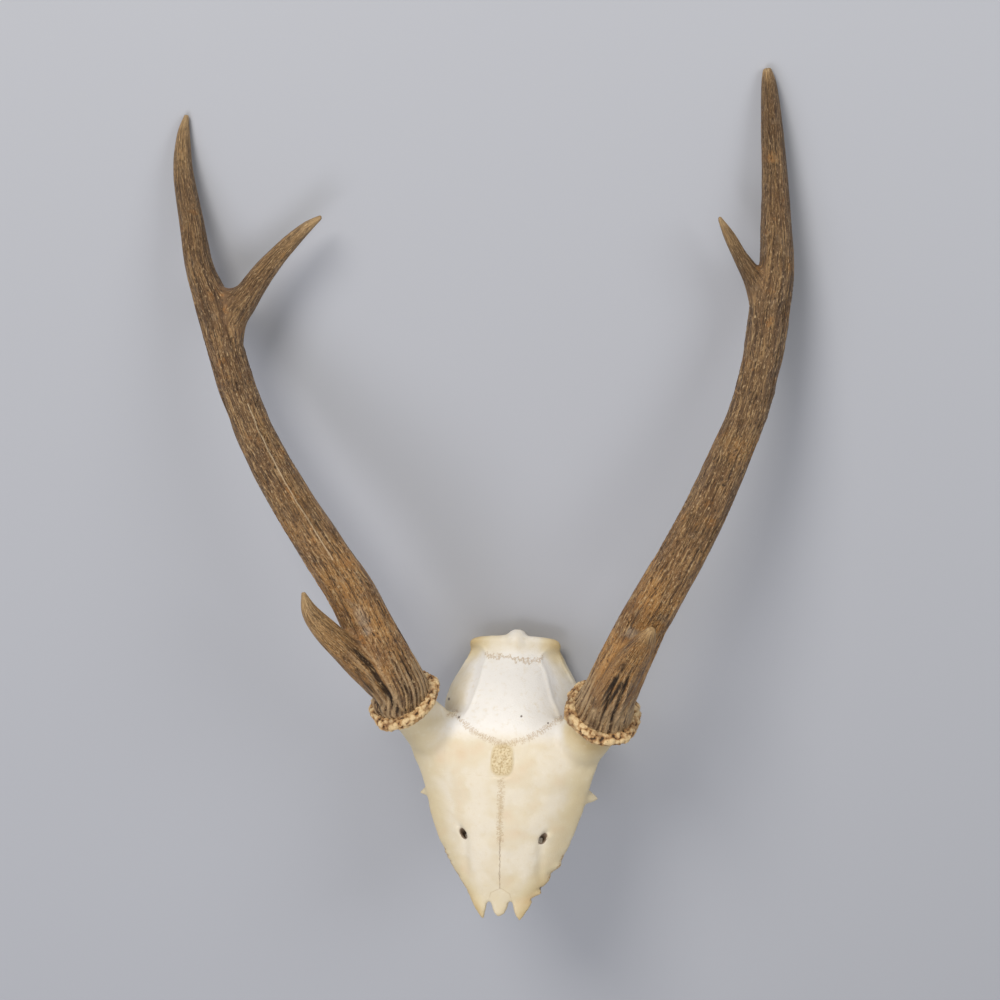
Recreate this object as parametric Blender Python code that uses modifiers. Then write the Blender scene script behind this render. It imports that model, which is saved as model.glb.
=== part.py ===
"""Sika deer skull cap with its two antlers, life size, lying on a floor as it would rest.

The bone is shaped in its own frame: X to the viewer's right, Y from the nose to the back of the
head, Z out of the forehead, with the flat sawn underside at Z = 0. It is then tipped back on to the
two antler tips and the rear edge of the saw cut, which is how such a skull cap lies.
Left and right are the viewer's, facing the forehead with the nose down. Sizes are in millimetres
in the tables and metres in the meshes.
"""

import math

import bmesh
import bpy
import numpy as np
from mathutils import Matrix, Vector

MM = 0.001
SEAM = 0.3 * MM  # the thin cut that parts one piece from the next
MERGE = 0.01 * MM

# Driving sizes of the skull cap
SKULL_TOP = 57.3  # forehead above the saw cut
BONE_WALL = 5.5  # thickness of the braincase wall
MIDLINE_END = 47.6  # where the midline seam stops, at the back seam

# Height of the bone on the midline: place along Y, height above the saw cut
CROWN = (
    (-114, 26.5),
    (-100, 32.0),
    (-80, 41.0),
    (-60, 48.5),
    (-40, 54.0),
    (-20, SKULL_TOP),
    (-8, SKULL_TOP),
    (4, 55.5),
    (18, 49.0),
    (32, 39.0),
    (44, 28.0),
    (52, 20.5),
    (58, 16.0),
)

# Braincase and nose body: Y, half width at the saw cut, height of its lower edge, squareness of arch
BODY = (
    (-100, 17.0, 17.0, 2.0),
    (-90, 22.0, 14.0, 2.0),
    (-75, 26.0, 8.0, 2.0),
    (-60, 28.5, 2.0, 2.0),
    (-45, 29.5, 0.0, 2.0),
    (-25, 32.0, 0.0, 2.0),
    (-8, 37.5, 0.0, 2.1),
    (6, 42.3, 0.0, 2.4),
    (18, 42.6, 0.0, 2.55),
    (30, 39.0, 0.0, 2.45),
    (42, 32.4, 0.0, 2.3),
    (54, 25.6, 0.0, 2.1),
)

# Forehead plate over the orbits: Y, half width, height of its outer edge, thickness
PLATE = (
    (-113.5, 11.5, 26.0, 2.6),
    (-110, 14.0, 26.5, 4.0),
    (-104, 18.0, 27.0, 5.0),
    (-97, 21.5, 27.0, 6.0),
    (-90, 26.5, 27.0, 6.5),
    (-83, 31.0, 27.0, 7.0),
    (-76, 35.0, 27.5, 7.5),
    (-69, 38.5, 28.5, 8.0),
    (-62, 41.5, 29.5, 8.5),
    (-54, 44.3, 30.5, 9.0),
    (-46, 46.8, 31.5, 9.5),
    (-38, 49.0, 32.5, 10.0),
    (-30, 50.8, 34.5, 10.5),
    (-22, 53.5, 38.0, 11.0),
    (-14, 56.8, 41.5, 11.5),
    (-6, 58.0, 44.5, 12.0),
    (2, 53.0, 46.0, 12.0),
    (9, 45.0, 45.0, 9.5),
    (15, 33.0, 43.2, 5.0),
)

PLATE_SHIFT = 0.9  # the forehead lies a little to the right
FORAMEN_LEFT = (-22.8, -57.2, 44)
FORAMEN_RIGHT = (26.6, -57.0, 43)
FORAMEN_RADIUS = 2.2

# Small limbs of bone: x, y, z, radius along each
CREST = (
    (-25.8, 51.0, 9, 2.0),
    (-26.0, 55.2, 13.5, 2.8),
    (-14, 57.0, 16, 3.3),
    (0, 57.4, 17, 4.0),
    (14, 58.0, 16, 3.3),
    (24.6, 56.8, 13.5, 2.8),
    (25.6, 52.0, 9, 2.0),
)
CREST_ROOT = (
    (-24.5, 48.0, 9.5, 3.2),
    (-20, 51.0, 13.0, 4.2),
    (-10, 52.5, 16.0, 4.6),
    (0, 53.0, 17.0, 5.0),
    (10, 53.0, 16.0, 4.6),
    (20, 52.0, 13.0, 4.2),
    (24.5, 49.0, 9.5, 3.2),
)
KNOB = ((0, 50, 16, 6.5), (0.6, 56, 15.5, 7.2), (0.8, 60.5, 14, 6.3), (0.8, 64, 13, 3.4))
SPUR_LEFT = ((-44, -35, 31, 5), (-49, -37, 28, 3.6), (-53, -38.5, 25.5, 0.8))
SPUR_RIGHT = ((45, -33, 31, 5.5), (51, -34.5, 28, 4), (57, -35, 25.5, 0.8))
SHELF_POINT_LEFT = ((-43, 6, 47, 6), (-42.5, 14, 53, 3.6), (-42.3, 20.5, 57, 0.8))
SHELF_POINT_RIGHT = ((44, 6, 47, 6), (43, 14, 53, 3.6), (42.5, 20.5, 57, 0.8))

# Pedicles: x, y, z, radius, from inside the forehead out to the seat of the antler
PEDICLE_LEFT = (
    (-26, -14, 22, 10),
    (-36, -7, 32, 14.5),
    (-45, 2, 45, 15.5),
    (-52.5, 12, 58, 14.2),
    (-60, 24, 72, 13),
)
PEDICLE_RIGHT = (
    (26, -14, 22, 10),
    (36, -7, 32, 14.5),
    (46.5, 2, 45, 16),
    (54, 11, 58, 14.8),
    (61, 23, 76, 13.4),
)

# Antlers: the seat's centre, the way it faces, then stations of x, y, z, radius
BURR_RADIUS = 19.0  # middle of the coronet's roll from the antler's axis
BURR_ROLL = 4.3  # radius of the roll itself
BURR_BELOW = 4.4  # the coronet's under face below the seat's centre
BURR_ABOVE = 5.6  # the seam between coronet and beam above it
BURR_KNOB = 1.3  # how far the knobs stand out

SEAT_LEFT = ((-58.3, 21.5, 70), (-0.40, 0.69, 0.60))
BEAM_LEFT = (
    (-61.5, 33, 82, 15.5),
    (-69.5, 50, 94, 15.0),
    (-80, 70.5, 102, 14.5),
    (-88.5, 86.5, 107, 13.9),
    (-107, 113, 114, 12.7),
    (-125, 140, 120, 11.8),
    (-141, 167, 126, 11.0),
    (-153, 194, 132, 10.4),
    (-162, 221, 138, 10.4),
    (-169.5, 247, 145, 10.2),
    (-177, 267, 151, 8.0),
    (-181.5, 293, 158, 6.8),
    (-185.5, 319, 166, 5.6),
    (-185, 338, 172, 3.9),
    (-182.5, 350, 177, 1.4),
)
BROW_LEFT = (
    (-63, 24, 78, 9.5),
    (-74, 37, 97, 9.5),
    (-88, 52, 112, 8.4),
    (-99, 64, 125, 7.0),
    (-106, 74, 134, 4.9),
    (-109, 85, 142, 1.3),
)
TINE_LEFT = (
    (-163, 234, 143, 9.6),
    (-154, 246, 146, 8.9),
    (-143.5, 260.5, 151, 6.9),
    (-133.5, 272, 156, 5.6),
    (-123.5, 282, 161, 4.6),
    (-113, 291, 166, 3.2),
    (-104.3, 296.7, 170, 1.1),
)

SEAT_RIGHT = ((60.0, 22, 70), (0.27, 0.63, 0.73))
BEAM_RIGHT = (
    (65, 34, 84, 15.2),
    (73, 52.5, 96, 14.8),
    (82.5, 74.5, 105, 13.8),
    (90, 89, 110, 13.5),
    (104, 117, 117, 12.7),
    (117, 145, 124, 11.9),
    (128, 173, 130, 11.2),
    (138, 200, 137, 10.8),
    (144, 227, 144, 10.7),
    (147, 253, 151, 11.2),
    (150, 279, 158, 9.6),
    (148.5, 305, 167, 8.2),
    (146.5, 330, 178, 6.9),
    (144, 354, 188, 5.6),
    (141.5, 374, 195, 3.8),
    (140, 382.5, 198, 1.5),
)
BROW_RIGHT = (
    (60, 24, 82, 10.0),
    (68, 37, 98, 10.6),
    (78, 54, 115, 9.4),
    (86, 67, 128, 6.6),
    (90.5, 75.5, 136, 2.4),
)
TINE_RIGHT = (
    (145.5, 255, 153, 9.4),
    (139.8, 270, 159, 6.8),
    (130.5, 283.5, 168, 4.2),
    (124, 294, 175, 3.2),
    (118, 303.5, 182, 1.1),
)

# Where each branch is parted: how far along its own stations, as a station number
BROW_CUT = {"left": 3.15, "right": 2.75}
TINE_CUT = {"left": 1.9, "right": 1.9}
TOP_CUT = {"left": 10.1, "right": 10.35}

# Bone seams seen from above: x, y
CORONAL_SEAM = ((-36.5, 17.5), (-31, 13.4), (-20, 5), (0, -1), (20, 5), (31, 13.4), (36.5, 17.5))
CORONAL_LOW = ((-47, 12), (-40, 13.5), (-32.6, 15.1))  # under the pedicle, mirrored on the right
CORONAL_LOW_TOP = 39.5
LAMBDOID_SEAM = ((-46, 43), (-30, 46), (0, MIDLINE_END), (30, 46), (46, 43))
NASION_SEAM = ((-5.7, -99.0), (-4.9, -96.3), (0.4, -92.3), (6.4, -96.3), (7.1, -99.0))
NOSE_NOTCH = (
    (-9.6, -130),
    (-9.4, -113),
    (-5.8, -97.5),
    (-4.2, -103),
    (0.9, -109),
    (5.4, -103),
    (7.1, -97.5),
    (12.8, -112.5),
    (13.2, -130),
)

BONE = ("cream_bone", (0.84, 0.75, 0.60), 0.55)
ANTLER = ("antler", (0.22, 0.13, 0.07), 0.6)
CORONET = ("coronet", (0.42, 0.29, 0.17), 0.75)


def new_collection(name):
    collection = bpy.data.collections.new(name)
    bpy.context.scene.collection.children.link(collection)
    return collection


for old in list(bpy.data.objects):
    bpy.data.objects.remove(old, do_unlink=True)
PARTS = new_collection("sika_skull_cap")
CUTTERS = new_collection("cutters")


def new_object(name, mesh, collection):
    thing = bpy.data.objects.new(name, mesh)
    collection.objects.link(thing)
    return thing


def drop(thing):
    bpy.data.objects.remove(thing, do_unlink=True)


def finish_of(name, colour, roughness):
    """A plain Principled material, made once for each name."""
    material = bpy.data.materials.get(name)
    if material is None:
        material = bpy.data.materials.new(name)
        material.use_nodes = True
        shader = material.node_tree.nodes["Principled BSDF"]
        shader.inputs["Base Color"].default_value = (*colour, 1)
        shader.inputs["Roughness"].default_value = roughness
    return material


def smooth_table(table, places):
    """Values read from a table on a smooth curve through its rows (cubic Hermite)."""
    rows = np.array(table, float)
    keys, values = rows[:, 0], rows[:, 1:]
    slopes = np.gradient(values, keys, axis=0)
    index = np.clip(np.searchsorted(keys, places) - 1, 0, len(keys) - 2)
    width = (keys[index + 1] - keys[index])[:, None]
    t = ((places - keys[index])[:, None]) / width
    blend_a, blend_b = 2 * t**3 - 3 * t**2 + 1, 3 * t**2 - 2 * t**3
    lean_a, lean_b = t**3 - 2 * t**2 + t, t**3 - t**2
    return (
        blend_a * values[index]
        + blend_b * values[index + 1]
        + width * (lean_a * slopes[index] + lean_b * slopes[index + 1])
    )


def limb_points(stations, steps):
    """Points of x, y, z and radius along a limb, a few between each two stations."""
    numbered = [(i, *station) for i, station in enumerate(stations)]
    places = np.linspace(0, len(stations) - 1, (len(stations) - 1) * steps + 1)
    points = smooth_table(numbered, places)
    points[:, 3] = np.maximum(points[:, 3], stations[-1][3])
    return points


def mesh_from_curve(curve_object, name):
    """The curve as a closed mesh, with its caps welded to its sides."""
    bpy.context.view_layer.update()
    graph = bpy.context.evaluated_depsgraph_get()
    mesh = bpy.data.meshes.new_from_object(curve_object.evaluated_get(graph))
    mesh.name = name
    made = new_object(name, mesh, curve_object.users_collection[0])
    made.matrix_world = curve_object.matrix_world.copy()
    edit = bmesh.new()
    edit.from_mesh(mesh)
    bmesh.ops.remove_doubles(edit, verts=edit.verts, dist=MERGE)
    edit.to_mesh(mesh)
    edit.free()
    drop(curve_object)
    return made


def limb(name, stations, sides=12, steps=2, collection=None):
    """A tapering round limb: a curve bevelled to a ring, its radius set at each point."""
    points = limb_points(stations, steps)
    curve = bpy.data.curves.new(name, "CURVE")
    curve.dimensions = "3D"
    curve.bevel_depth = MM
    curve.bevel_resolution = (sides - 4) // 2
    curve.use_fill_caps = True
    spline = curve.splines.new("POLY")
    spline.points.add(len(points) - 1)
    for point, (x, y, z, radius) in zip(spline.points, points):
        point.co = (x * MM, y * MM, z * MM, 1)
        point.radius = radius
    return mesh_from_curve(new_object(name, curve, collection or PARTS), name)


def loft(name, rings, collection=None):
    """A closed skin over rings of equal count, with a flat face over each end."""
    count, around, _ = rings.shape
    mesh = bpy.data.meshes.new(name)
    edit = bmesh.new()
    verts = [[edit.verts.new(Vector(p) * MM) for p in ring] for ring in rings]
    for a, b in zip(verts, verts[1:]):
        for i in range(around):
            j = (i + 1) % around
            edit.faces.new((a[i], a[j], b[j], b[i]))
    edit.faces.new(verts[0][::-1])
    edit.faces.new(verts[-1])
    bmesh.ops.recalc_face_normals(edit, faces=edit.faces)
    edit.to_mesh(mesh)
    edit.free()
    return new_object(name, mesh, collection or PARTS)


def upright_slab(name, outline, closed=False, low=-12, high=90):
    """A seam seen from above, as an upright sheet of the seam's thickness, or a filled outline."""
    curve = bpy.data.curves.new(name, "CURVE")
    curve.dimensions = "2D" if closed else "3D"
    spline = curve.splines.new("POLY")
    spline.points.add(len(outline) - 1)
    for point, (x, y) in zip(spline.points, outline):
        point.co = (x * MM, y * MM, 0, 1)
    spline.use_cyclic_u = closed
    curve.extrude = (high - low) / 2 * MM
    if closed:
        curve.fill_mode = "BOTH"
    thing = new_object(name, curve, CUTTERS)
    thing.location.z = (high + low) / 2 * MM
    made = mesh_from_curve(thing, name)
    if not closed:
        solid = made.modifiers.new("Thickness", "SOLIDIFY")
        solid.thickness = SEAM
        solid.offset = 0
        bake_modifiers(made)
    return made


def disc(name, centre, facing, radius, thickness, collection=None, sides=24):
    """A short cylinder about a point, its axis along the way it faces."""
    mesh = bpy.data.meshes.new(name)
    edit = bmesh.new()
    bmesh.ops.create_cone(
        edit,
        cap_ends=True,
        segments=sides,
        radius1=radius * MM,
        radius2=radius * MM,
        depth=thickness,
    )
    edit.to_mesh(mesh)
    edit.free()
    thing = new_object(name, mesh, collection or CUTTERS)
    turn = Vector(facing).to_track_quat("Z", "Y").to_matrix().to_4x4()
    thing.matrix_world = Matrix.Translation(Vector(centre) * MM) @ turn
    return thing


def bake_modifiers(thing):
    """Turns an object and its modifiers into a plain mesh."""
    bpy.context.view_layer.update()
    graph = bpy.context.evaluated_depsgraph_get()
    mesh = bpy.data.meshes.new_from_object(thing.evaluated_get(graph))
    thing.modifiers.clear()
    thing.data = mesh


def joined(name, pieces):
    """One Boolean union of several closed pieces, which are then removed."""
    group = new_collection(name + "_pieces")
    for piece in pieces[1:]:
        for home in list(piece.users_collection):
            home.objects.unlink(piece)
        group.objects.link(piece)
    union = pieces[0].modifiers.new("Join", "BOOLEAN")
    union.operation = "UNION"
    union.operand_type = "COLLECTION"
    union.collection = group
    union.solver = "MANIFOLD"
    bake_modifiers(pieces[0])
    for piece in list(group.objects):
        drop(piece)
    bpy.data.collections.remove(group)
    pieces[0].name = name
    return pieces[0]


def cut(thing, cutters):
    """Takes each closed cutter out of the thing, and removes the cutter."""
    for cutter in cutters:
        cutter.display_type = "WIRE"
        cutter.hide_render = True
        difference = thing.modifiers.new("Cut", "BOOLEAN")
        difference.operation = "DIFFERENCE"
        difference.object = cutter
        difference.solver = "MANIFOLD"
        bake_modifiers(thing)
        drop(cutter)


def closed_surfaces(thing):
    """The vertex indices of each separate closed surface of a mesh, largest box first."""
    edit = bmesh.new()
    edit.from_mesh(thing.data)
    edit.verts.ensure_lookup_table()
    seen, found = set(), []
    for start in edit.verts:
        if start.index in seen:
            continue
        island, front = {start.index}, [start]
        while front:
            for edge in front.pop().link_edges:
                for vert in edge.verts:
                    if vert.index not in island:
                        island.add(vert.index)
                        front.append(vert)
        seen |= island
        found.append(sorted(island))
    edit.free()
    return sorted(found, key=len, reverse=True)


def parted(thing, names, finish):
    """Splits a cut mesh into its closed surfaces, each named by the landmark it lies nearest."""
    places = np.array([tuple(v.co) for v in thing.data.vertices])
    spare = closed_surfaces(thing)
    for name, landmark in names:
        distances = [np.linalg.norm(places[s] - np.array(landmark) * MM, axis=1).min() for s in spare]
        chosen = spare.pop(int(np.argmin(distances)))
        edit = bmesh.new()
        edit.from_mesh(thing.data)
        edit.verts.ensure_lookup_table()
        kept = set(chosen)
        bmesh.ops.delete(edit, geom=[v for v in edit.verts if v.index not in kept], context="VERTS")
        bmesh.ops.triangulate(edit, faces=edit.faces)
        mesh = bpy.data.meshes.new(name)
        edit.to_mesh(mesh)
        edit.free()
        mesh.materials.append(finish_of(*finish))
        mesh.shade_smooth()
        mesh.set_sharp_from_angle(angle=math.radians(40))
        new_object(name, mesh, PARTS)
    drop(thing)


def crown_height(places):
    return smooth_table(CROWN, places)[:, 0]


def arch(half_width, height, lower_edge, square, sides):
    """An arch over a flat base: x = w sin a, z = lower + (h - lower)(1 - |sin a|^n)^(1/n)."""
    angle = np.linspace(-math.pi / 2, math.pi / 2, sides)
    share = np.sin(angle)
    x = half_width * share
    z = lower_edge + (height - lower_edge) * np.maximum(1 - np.abs(share) ** square, 0) ** (1 / square)
    return x, z


def skull_body():
    """Braincase and nose body: arches that lean back over the saw cut towards the crest."""
    places = np.concatenate([np.arange(-100, -4, 8), np.arange(0, 55, 6)]).astype(float)
    lean = 0.2 * np.clip((places - 30) / 20, 0, 1)
    tops = crown_height(places)
    for _ in range(3):
        tops = crown_height(places + lean * tops)
    rings = []
    for y, back, (half, lower, square), top in zip(places, lean, smooth_table(BODY, places), tops):
        under_plate = 1.5 if y < 10 else 0.0
        x, z = arch(half, top - under_plate, max(lower, 0.0), square, 19)
        rings.append(np.stack([x, y + back * z, z], axis=1))
    return loft("skull_body", np.array(rings))


def forehead_plate():
    """Forehead over the orbits: a bent lens of bone, z = edge + (crown - edge)(1 - |x/w|^2.6).

    In front of the pedicles it lies a little to the right, as the photo shows.
    """
    places = np.array([row[0] for row in PLATE], float)
    angle = np.linspace(0, 2 * math.pi, 40, endpoint=False)
    across = np.sign(np.cos(angle)) * np.abs(np.cos(angle)) ** 0.9
    rings = []
    for row, top in zip(PLATE, crown_height(places)):
        y, half, edge, thick = row
        x = half * across + PLATE_SHIFT * min(1, max(0, -y / 25))
        middle = edge + (top - thick / 2 - edge) * (1 - np.abs(across) ** 2.6)
        z = middle + thick / 2 * np.sign(np.sin(angle)) * np.abs(np.sin(angle)) ** 0.7
        rings.append(np.stack([x, np.full_like(x, y), z], axis=1))
    return loft("forehead_plate", np.array(rings))


def trim_plane(thing, point, facing):
    """Cuts a closed mesh flat at a plane and keeps what lies behind it."""
    edit = bmesh.new()
    edit.from_mesh(thing.data)
    cut_edges = bmesh.ops.bisect_plane(
        edit,
        geom=edit.verts[:] + edit.edges[:] + edit.faces[:],
        plane_co=Vector(point),
        plane_no=Vector(facing),
        clear_outer=True,
    )["geom_cut"]
    open_edges = [e for e in cut_edges if isinstance(e, bmesh.types.BMEdge)]
    bmesh.ops.triangle_fill(edit, use_beauty=True, edges=open_edges)
    bmesh.ops.recalc_face_normals(edit, faces=edit.faces)
    edit.to_mesh(thing.data)
    edit.free()


def pedicle(side, stations, seat):
    """Bone stalk under the antler, sawn flat to the seat's plane just below the coronet."""
    made = limb(f"pedicle_{side}", stations, sides=16, steps=3)
    centre, facing = Vector(seat[0]) * MM, Vector(seat[1]).normalized()
    trim_plane(made, centre - facing * (BURR_BELOW * MM + SEAM), facing)
    return made


def cavity(name, first, last, ceiling, reach):
    """A rounded hollow open below: arches that shrink to nothing at the closed ends."""
    places = np.linspace(first, last, 14)
    middle, half_length = (first + last) / 2, (last - first) / 2
    rings = []
    for y, (half, _, square), top in zip(places, smooth_table(BODY, places), crown_height(places)):
        share = abs((y - middle) / half_length)
        swell = max(1 - share**4, 0.03) ** 0.5
        if reach and y < middle:
            swell = 1.0
        room_half = max((half - BONE_WALL) * swell, 1.0)
        room_top = max((top - ceiling) * swell, 1.0)
        x, z = arch(room_half, room_top, -4.0, square, 13)
        rings.append(np.stack([x, np.full_like(x, y), z], axis=1))
    return loft(name, np.array(rings), CUTTERS)


def foramen(side):
    """Small slanting hole through the forehead plate above each eye."""
    sign = -1 if side == "left" else 1
    middle = FORAMEN_LEFT if side == "left" else FORAMEN_RIGHT
    return disc(f"foramen_{side}", middle, (0.35 * sign, -0.55, 1), FORAMEN_RADIUS, 26 * MM, sides=10)


def skull_cap():
    """The sawn-off top of the skull, with crest, spurs and hollows, parted at its bone seams."""
    pieces = [
        skull_body(),
        forehead_plate(),
        pedicle("left", PEDICLE_LEFT, SEAT_LEFT),
        pedicle("right", PEDICLE_RIGHT, SEAT_RIGHT),
        limb("nuchal_crest", CREST, sides=10),
        limb("crest_root", CREST_ROOT, sides=10),
        limb("occipital_knob", KNOB, sides=12),
        limb("spur_left", SPUR_LEFT, sides=8),
        limb("spur_right", SPUR_RIGHT, sides=8),
        limb("shelf_point_left", SHELF_POINT_LEFT, sides=8),
        limb("shelf_point_right", SHELF_POINT_RIGHT, sides=8),
    ]
    skull = joined("skull", pieces)
    cut(
        skull,
        [
            cavity("brain_hollow", -34, 47, 6.5, False),
            cavity("nasal_hollow", -124, -40, 9.0, True),
            upright_slab("nose_notch", NOSE_NOTCH, closed=True),
            foramen("left"),
            foramen("right"),
            upright_slab("midline_seam", ((0, -130), (0, -60), (0, MIDLINE_END))),
            upright_slab("coronal_seam", CORONAL_SEAM),
            upright_slab("coronal_low_left", CORONAL_LOW, high=CORONAL_LOW_TOP),
            upright_slab("coronal_low_right", [(-x, y) for x, y in CORONAL_LOW], high=CORONAL_LOW_TOP),
            upright_slab("lambdoid_seam", LAMBDOID_SEAM),
            upright_slab("nasion_seam", NASION_SEAM),
        ],
    )
    parted(
        skull,
        [
            ("nasal_stub_left", (-2, -97, 33)),
            ("nasal_stub_right", (2, -97, 33)),
            ("frontal_left", (-30, -40, 50)),
            ("frontal_right", (30, -40, 50)),
            ("parietal_left", (-20, 30, 38)),
            ("parietal_right", (20, 30, 38)),
            ("occipital", (0, 60, 16)),
        ],
        BONE,
    )


def coronet(side, seat):
    """Knobbly ring of bone round the antler's foot: a torus whose knobs are drawn from a seed."""
    centre, facing = Vector(seat[0]) * MM, Vector(seat[1]).normalized()
    around, across = 36, 8
    draw = np.random.default_rng(7 if side == "left" else 11)
    knobs = draw.uniform(-1, 1, around)
    knobs = knobs - 0.5 * (np.roll(knobs, 1) + np.roll(knobs, -1)) * 0.6
    bpy.ops.mesh.primitive_torus_add(
        major_segments=around,
        minor_segments=across,
        major_radius=BURR_RADIUS * MM,
        minor_radius=BURR_ROLL * MM,
    )
    ring = bpy.context.object
    for home in list(ring.users_collection):
        home.objects.unlink(ring)
    PARTS.objects.link(ring)
    ring.name = f"coronet_ring_{side}"
    for vert in ring.data.vertices:
        turn = math.atan2(vert.co.y, vert.co.x) % (2 * math.pi)
        knob = knobs[round(turn / (2 * math.pi) * around) % around]
        flat = math.hypot(vert.co.x, vert.co.y)
        swell = 1 + BURR_KNOB * MM * knob / flat * (flat > BURR_RADIUS * MM)
        vert.co.x *= swell
        vert.co.y *= swell
        vert.co.z *= 0.92 + 0.1 * knob
    turn = facing.to_track_quat("Z", "Y").to_matrix().to_4x4()
    ring.data.transform(Matrix.Translation(centre) @ turn)
    core_name = f"coronet_core_{side}"
    core = disc(core_name, seat[0], seat[1], BURR_RADIUS - 0.6, 7.2 * MM, PARTS, sides=30)
    return [ring, core]


def parting_disc(name, stations, place, margin=1.3):
    """A seam across one branch: a thin disc square to the branch, a little wider than it."""
    here, ahead = (limb_points_at(stations, place + d) for d in (0, 0.05))
    return disc(name, here[:3], ahead[:3] - here[:3], here[3] + margin, SEAM)


def limb_points_at(stations, place):
    numbered = [(i, *station) for i, station in enumerate(stations)]
    return smooth_table(numbered, np.array([place]))[0]


def antler(side, seat, beam, brow, tine):
    """One antler, joined whole from its branches and then parted at its forks."""
    centre, facing = Vector(seat[0]), Vector(seat[1]).normalized()
    foot = [tuple(centre + facing * height) + (beam[0][3],) for height in (-7, 0)]
    stem = (*foot, *beam)
    pieces = [
        limb(f"beam_{side}", stem, sides=16, steps=2),
        limb(f"brow_{side}", brow, sides=12, steps=2),
        limb(f"tine_{side}", tine, sides=12, steps=2),
        *coronet(side, seat),
    ]
    whole = joined(f"antler_{side}", pieces)
    trim_plane(whole, (centre - facing * BURR_BELOW) * MM, -facing)
    cut(
        whole,
        [
            disc("burr_seam", tuple(centre + facing * BURR_ABOVE), facing, 28, SEAM, sides=32),
            parting_disc("brow_seam", brow, BROW_CUT[side]),
            parting_disc("tine_seam", tine, TINE_CUT[side]),
            parting_disc("top_seam", beam, TOP_CUT[side]),
        ],
    )
    middle = beam[5][:3]
    parted(
        whole,
        [
            (f"brow_tine_{side}", brow[-1][:3]),
            (f"inner_tine_{side}", tine[-1][:3]),
            (f"top_tine_{side}", beam[-1][:3]),
            (f"beam_{side}", middle),
            (f"coronet_{side}", tuple(centre - facing * BURR_BELOW)),
        ],
        ANTLER,
    )
    burr = bpy.data.objects[f"coronet_{side}"]
    burr.data.materials.clear()
    burr.data.materials.append(finish_of(*CORONET))


def rest_pose():
    """How the whole lies: on the plane under the two antler tips and the saw cut's rear edge."""
    groups = {"left": [], "right": [], "skull": []}
    for thing in PARTS.objects:
        if thing.type == "MESH":
            of_antler = "tine" in thing.name or "beam" in thing.name
            side = thing.name.split("_")[-1] if of_antler else "skull"
            groups[side] += [tuple(v.co) for v in thing.data.vertices]
    clouds = {key: np.array(points) for key, points in groups.items()}
    turn = np.array(Matrix.Rotation(math.radians(30), 3, "X"))
    for _ in range(12):
        low = {key: cloud[np.argmin(cloud @ turn[2])] for key, cloud in clouds.items()}
        up = np.cross(low["skull"] - low["left"], low["right"] - low["left"])
        up *= np.sign(up[2]) / np.linalg.norm(up)
        ahead = np.array([0, 1, 0]) - up * up[1]
        ahead /= np.linalg.norm(ahead)
        turn = np.array([np.cross(ahead, up), ahead, up])
    every = np.concatenate(list(clouds.values())) @ turn.T
    low, high = every.min(0), every.max(0)
    shift = -np.array([(low[0] + high[0]) / 2, (low[1] + high[1]) / 2, low[2]])
    pose = Matrix.Identity(4)
    for row in range(3):
        for column in range(3):
            pose[row][column] = turn[row][column]
        pose[row][3] = shift[row]
    return pose


def lay_down():
    """Parents every piece to one empty, which tips the whole into its rest pose."""
    floor_frame = bpy.data.objects.new("rest_pose", None)
    PARTS.objects.link(floor_frame)
    for thing in PARTS.objects:
        if thing.type == "MESH":
            thing.parent = floor_frame
    floor_frame.matrix_world = rest_pose()
    bpy.context.view_layer.update()


skull_cap()
antler("left", SEAT_LEFT, BEAM_LEFT, BROW_LEFT, TINE_LEFT)
antler("right", SEAT_RIGHT, BEAM_RIGHT, BROW_RIGHT, TINE_RIGHT)
lay_down()
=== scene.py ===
import bmesh
import bpy
import numpy as np
from mathutils import Matrix, Vector


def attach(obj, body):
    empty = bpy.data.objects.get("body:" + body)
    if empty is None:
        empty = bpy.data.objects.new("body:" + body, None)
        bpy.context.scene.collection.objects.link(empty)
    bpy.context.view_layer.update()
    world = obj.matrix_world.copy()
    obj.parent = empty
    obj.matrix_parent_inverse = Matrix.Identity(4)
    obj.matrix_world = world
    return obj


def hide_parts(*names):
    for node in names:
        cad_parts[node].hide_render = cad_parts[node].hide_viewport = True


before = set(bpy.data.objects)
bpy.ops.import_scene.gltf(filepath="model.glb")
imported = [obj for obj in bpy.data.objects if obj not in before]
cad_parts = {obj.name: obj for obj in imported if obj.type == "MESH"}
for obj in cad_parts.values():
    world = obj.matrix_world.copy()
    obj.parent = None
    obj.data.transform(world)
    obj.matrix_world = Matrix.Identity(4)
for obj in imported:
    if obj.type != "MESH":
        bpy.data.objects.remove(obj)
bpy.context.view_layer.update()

# The skull cap is one shell of cleaned, sun-white bone: forehead, braincase roof, the crest at the
# back and the roots of the nose bones, grown together at their seams. It was sawn off flat below,
# so it is open there, and nothing holds it: it lies on its sawn edge and on the antlers' tips.
MM = 0.001  # sizes are in mm: X to the viewer's right, Y to the back of the head, Z out of the forehead
NOSE_UP, ROLL = np.radians(30.7104), np.radians(0.2942)  # from the saw cut lying flat, at Z = 0, to rest
REST_TURN = np.array(Matrix.Rotation(-NOSE_UP, 3, "X") @ Matrix.Rotation(ROLL, 3, "Y"))
REST_SHIFT = np.array([0.014886, -0.172628, 0.027691])
CROWN = (
    (-114, 26.5), (-100, 32.0), (-80, 41.0), (-60, 48.5), (-40, 54.0), (-20, 57.3), (-8, 57.3),
    (4, 55.5), (18, 49.0), (32, 39.0), (44, 28.0), (52, 20.5), (58, 16.0),
)  # place along the midline, height of the bone there
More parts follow.
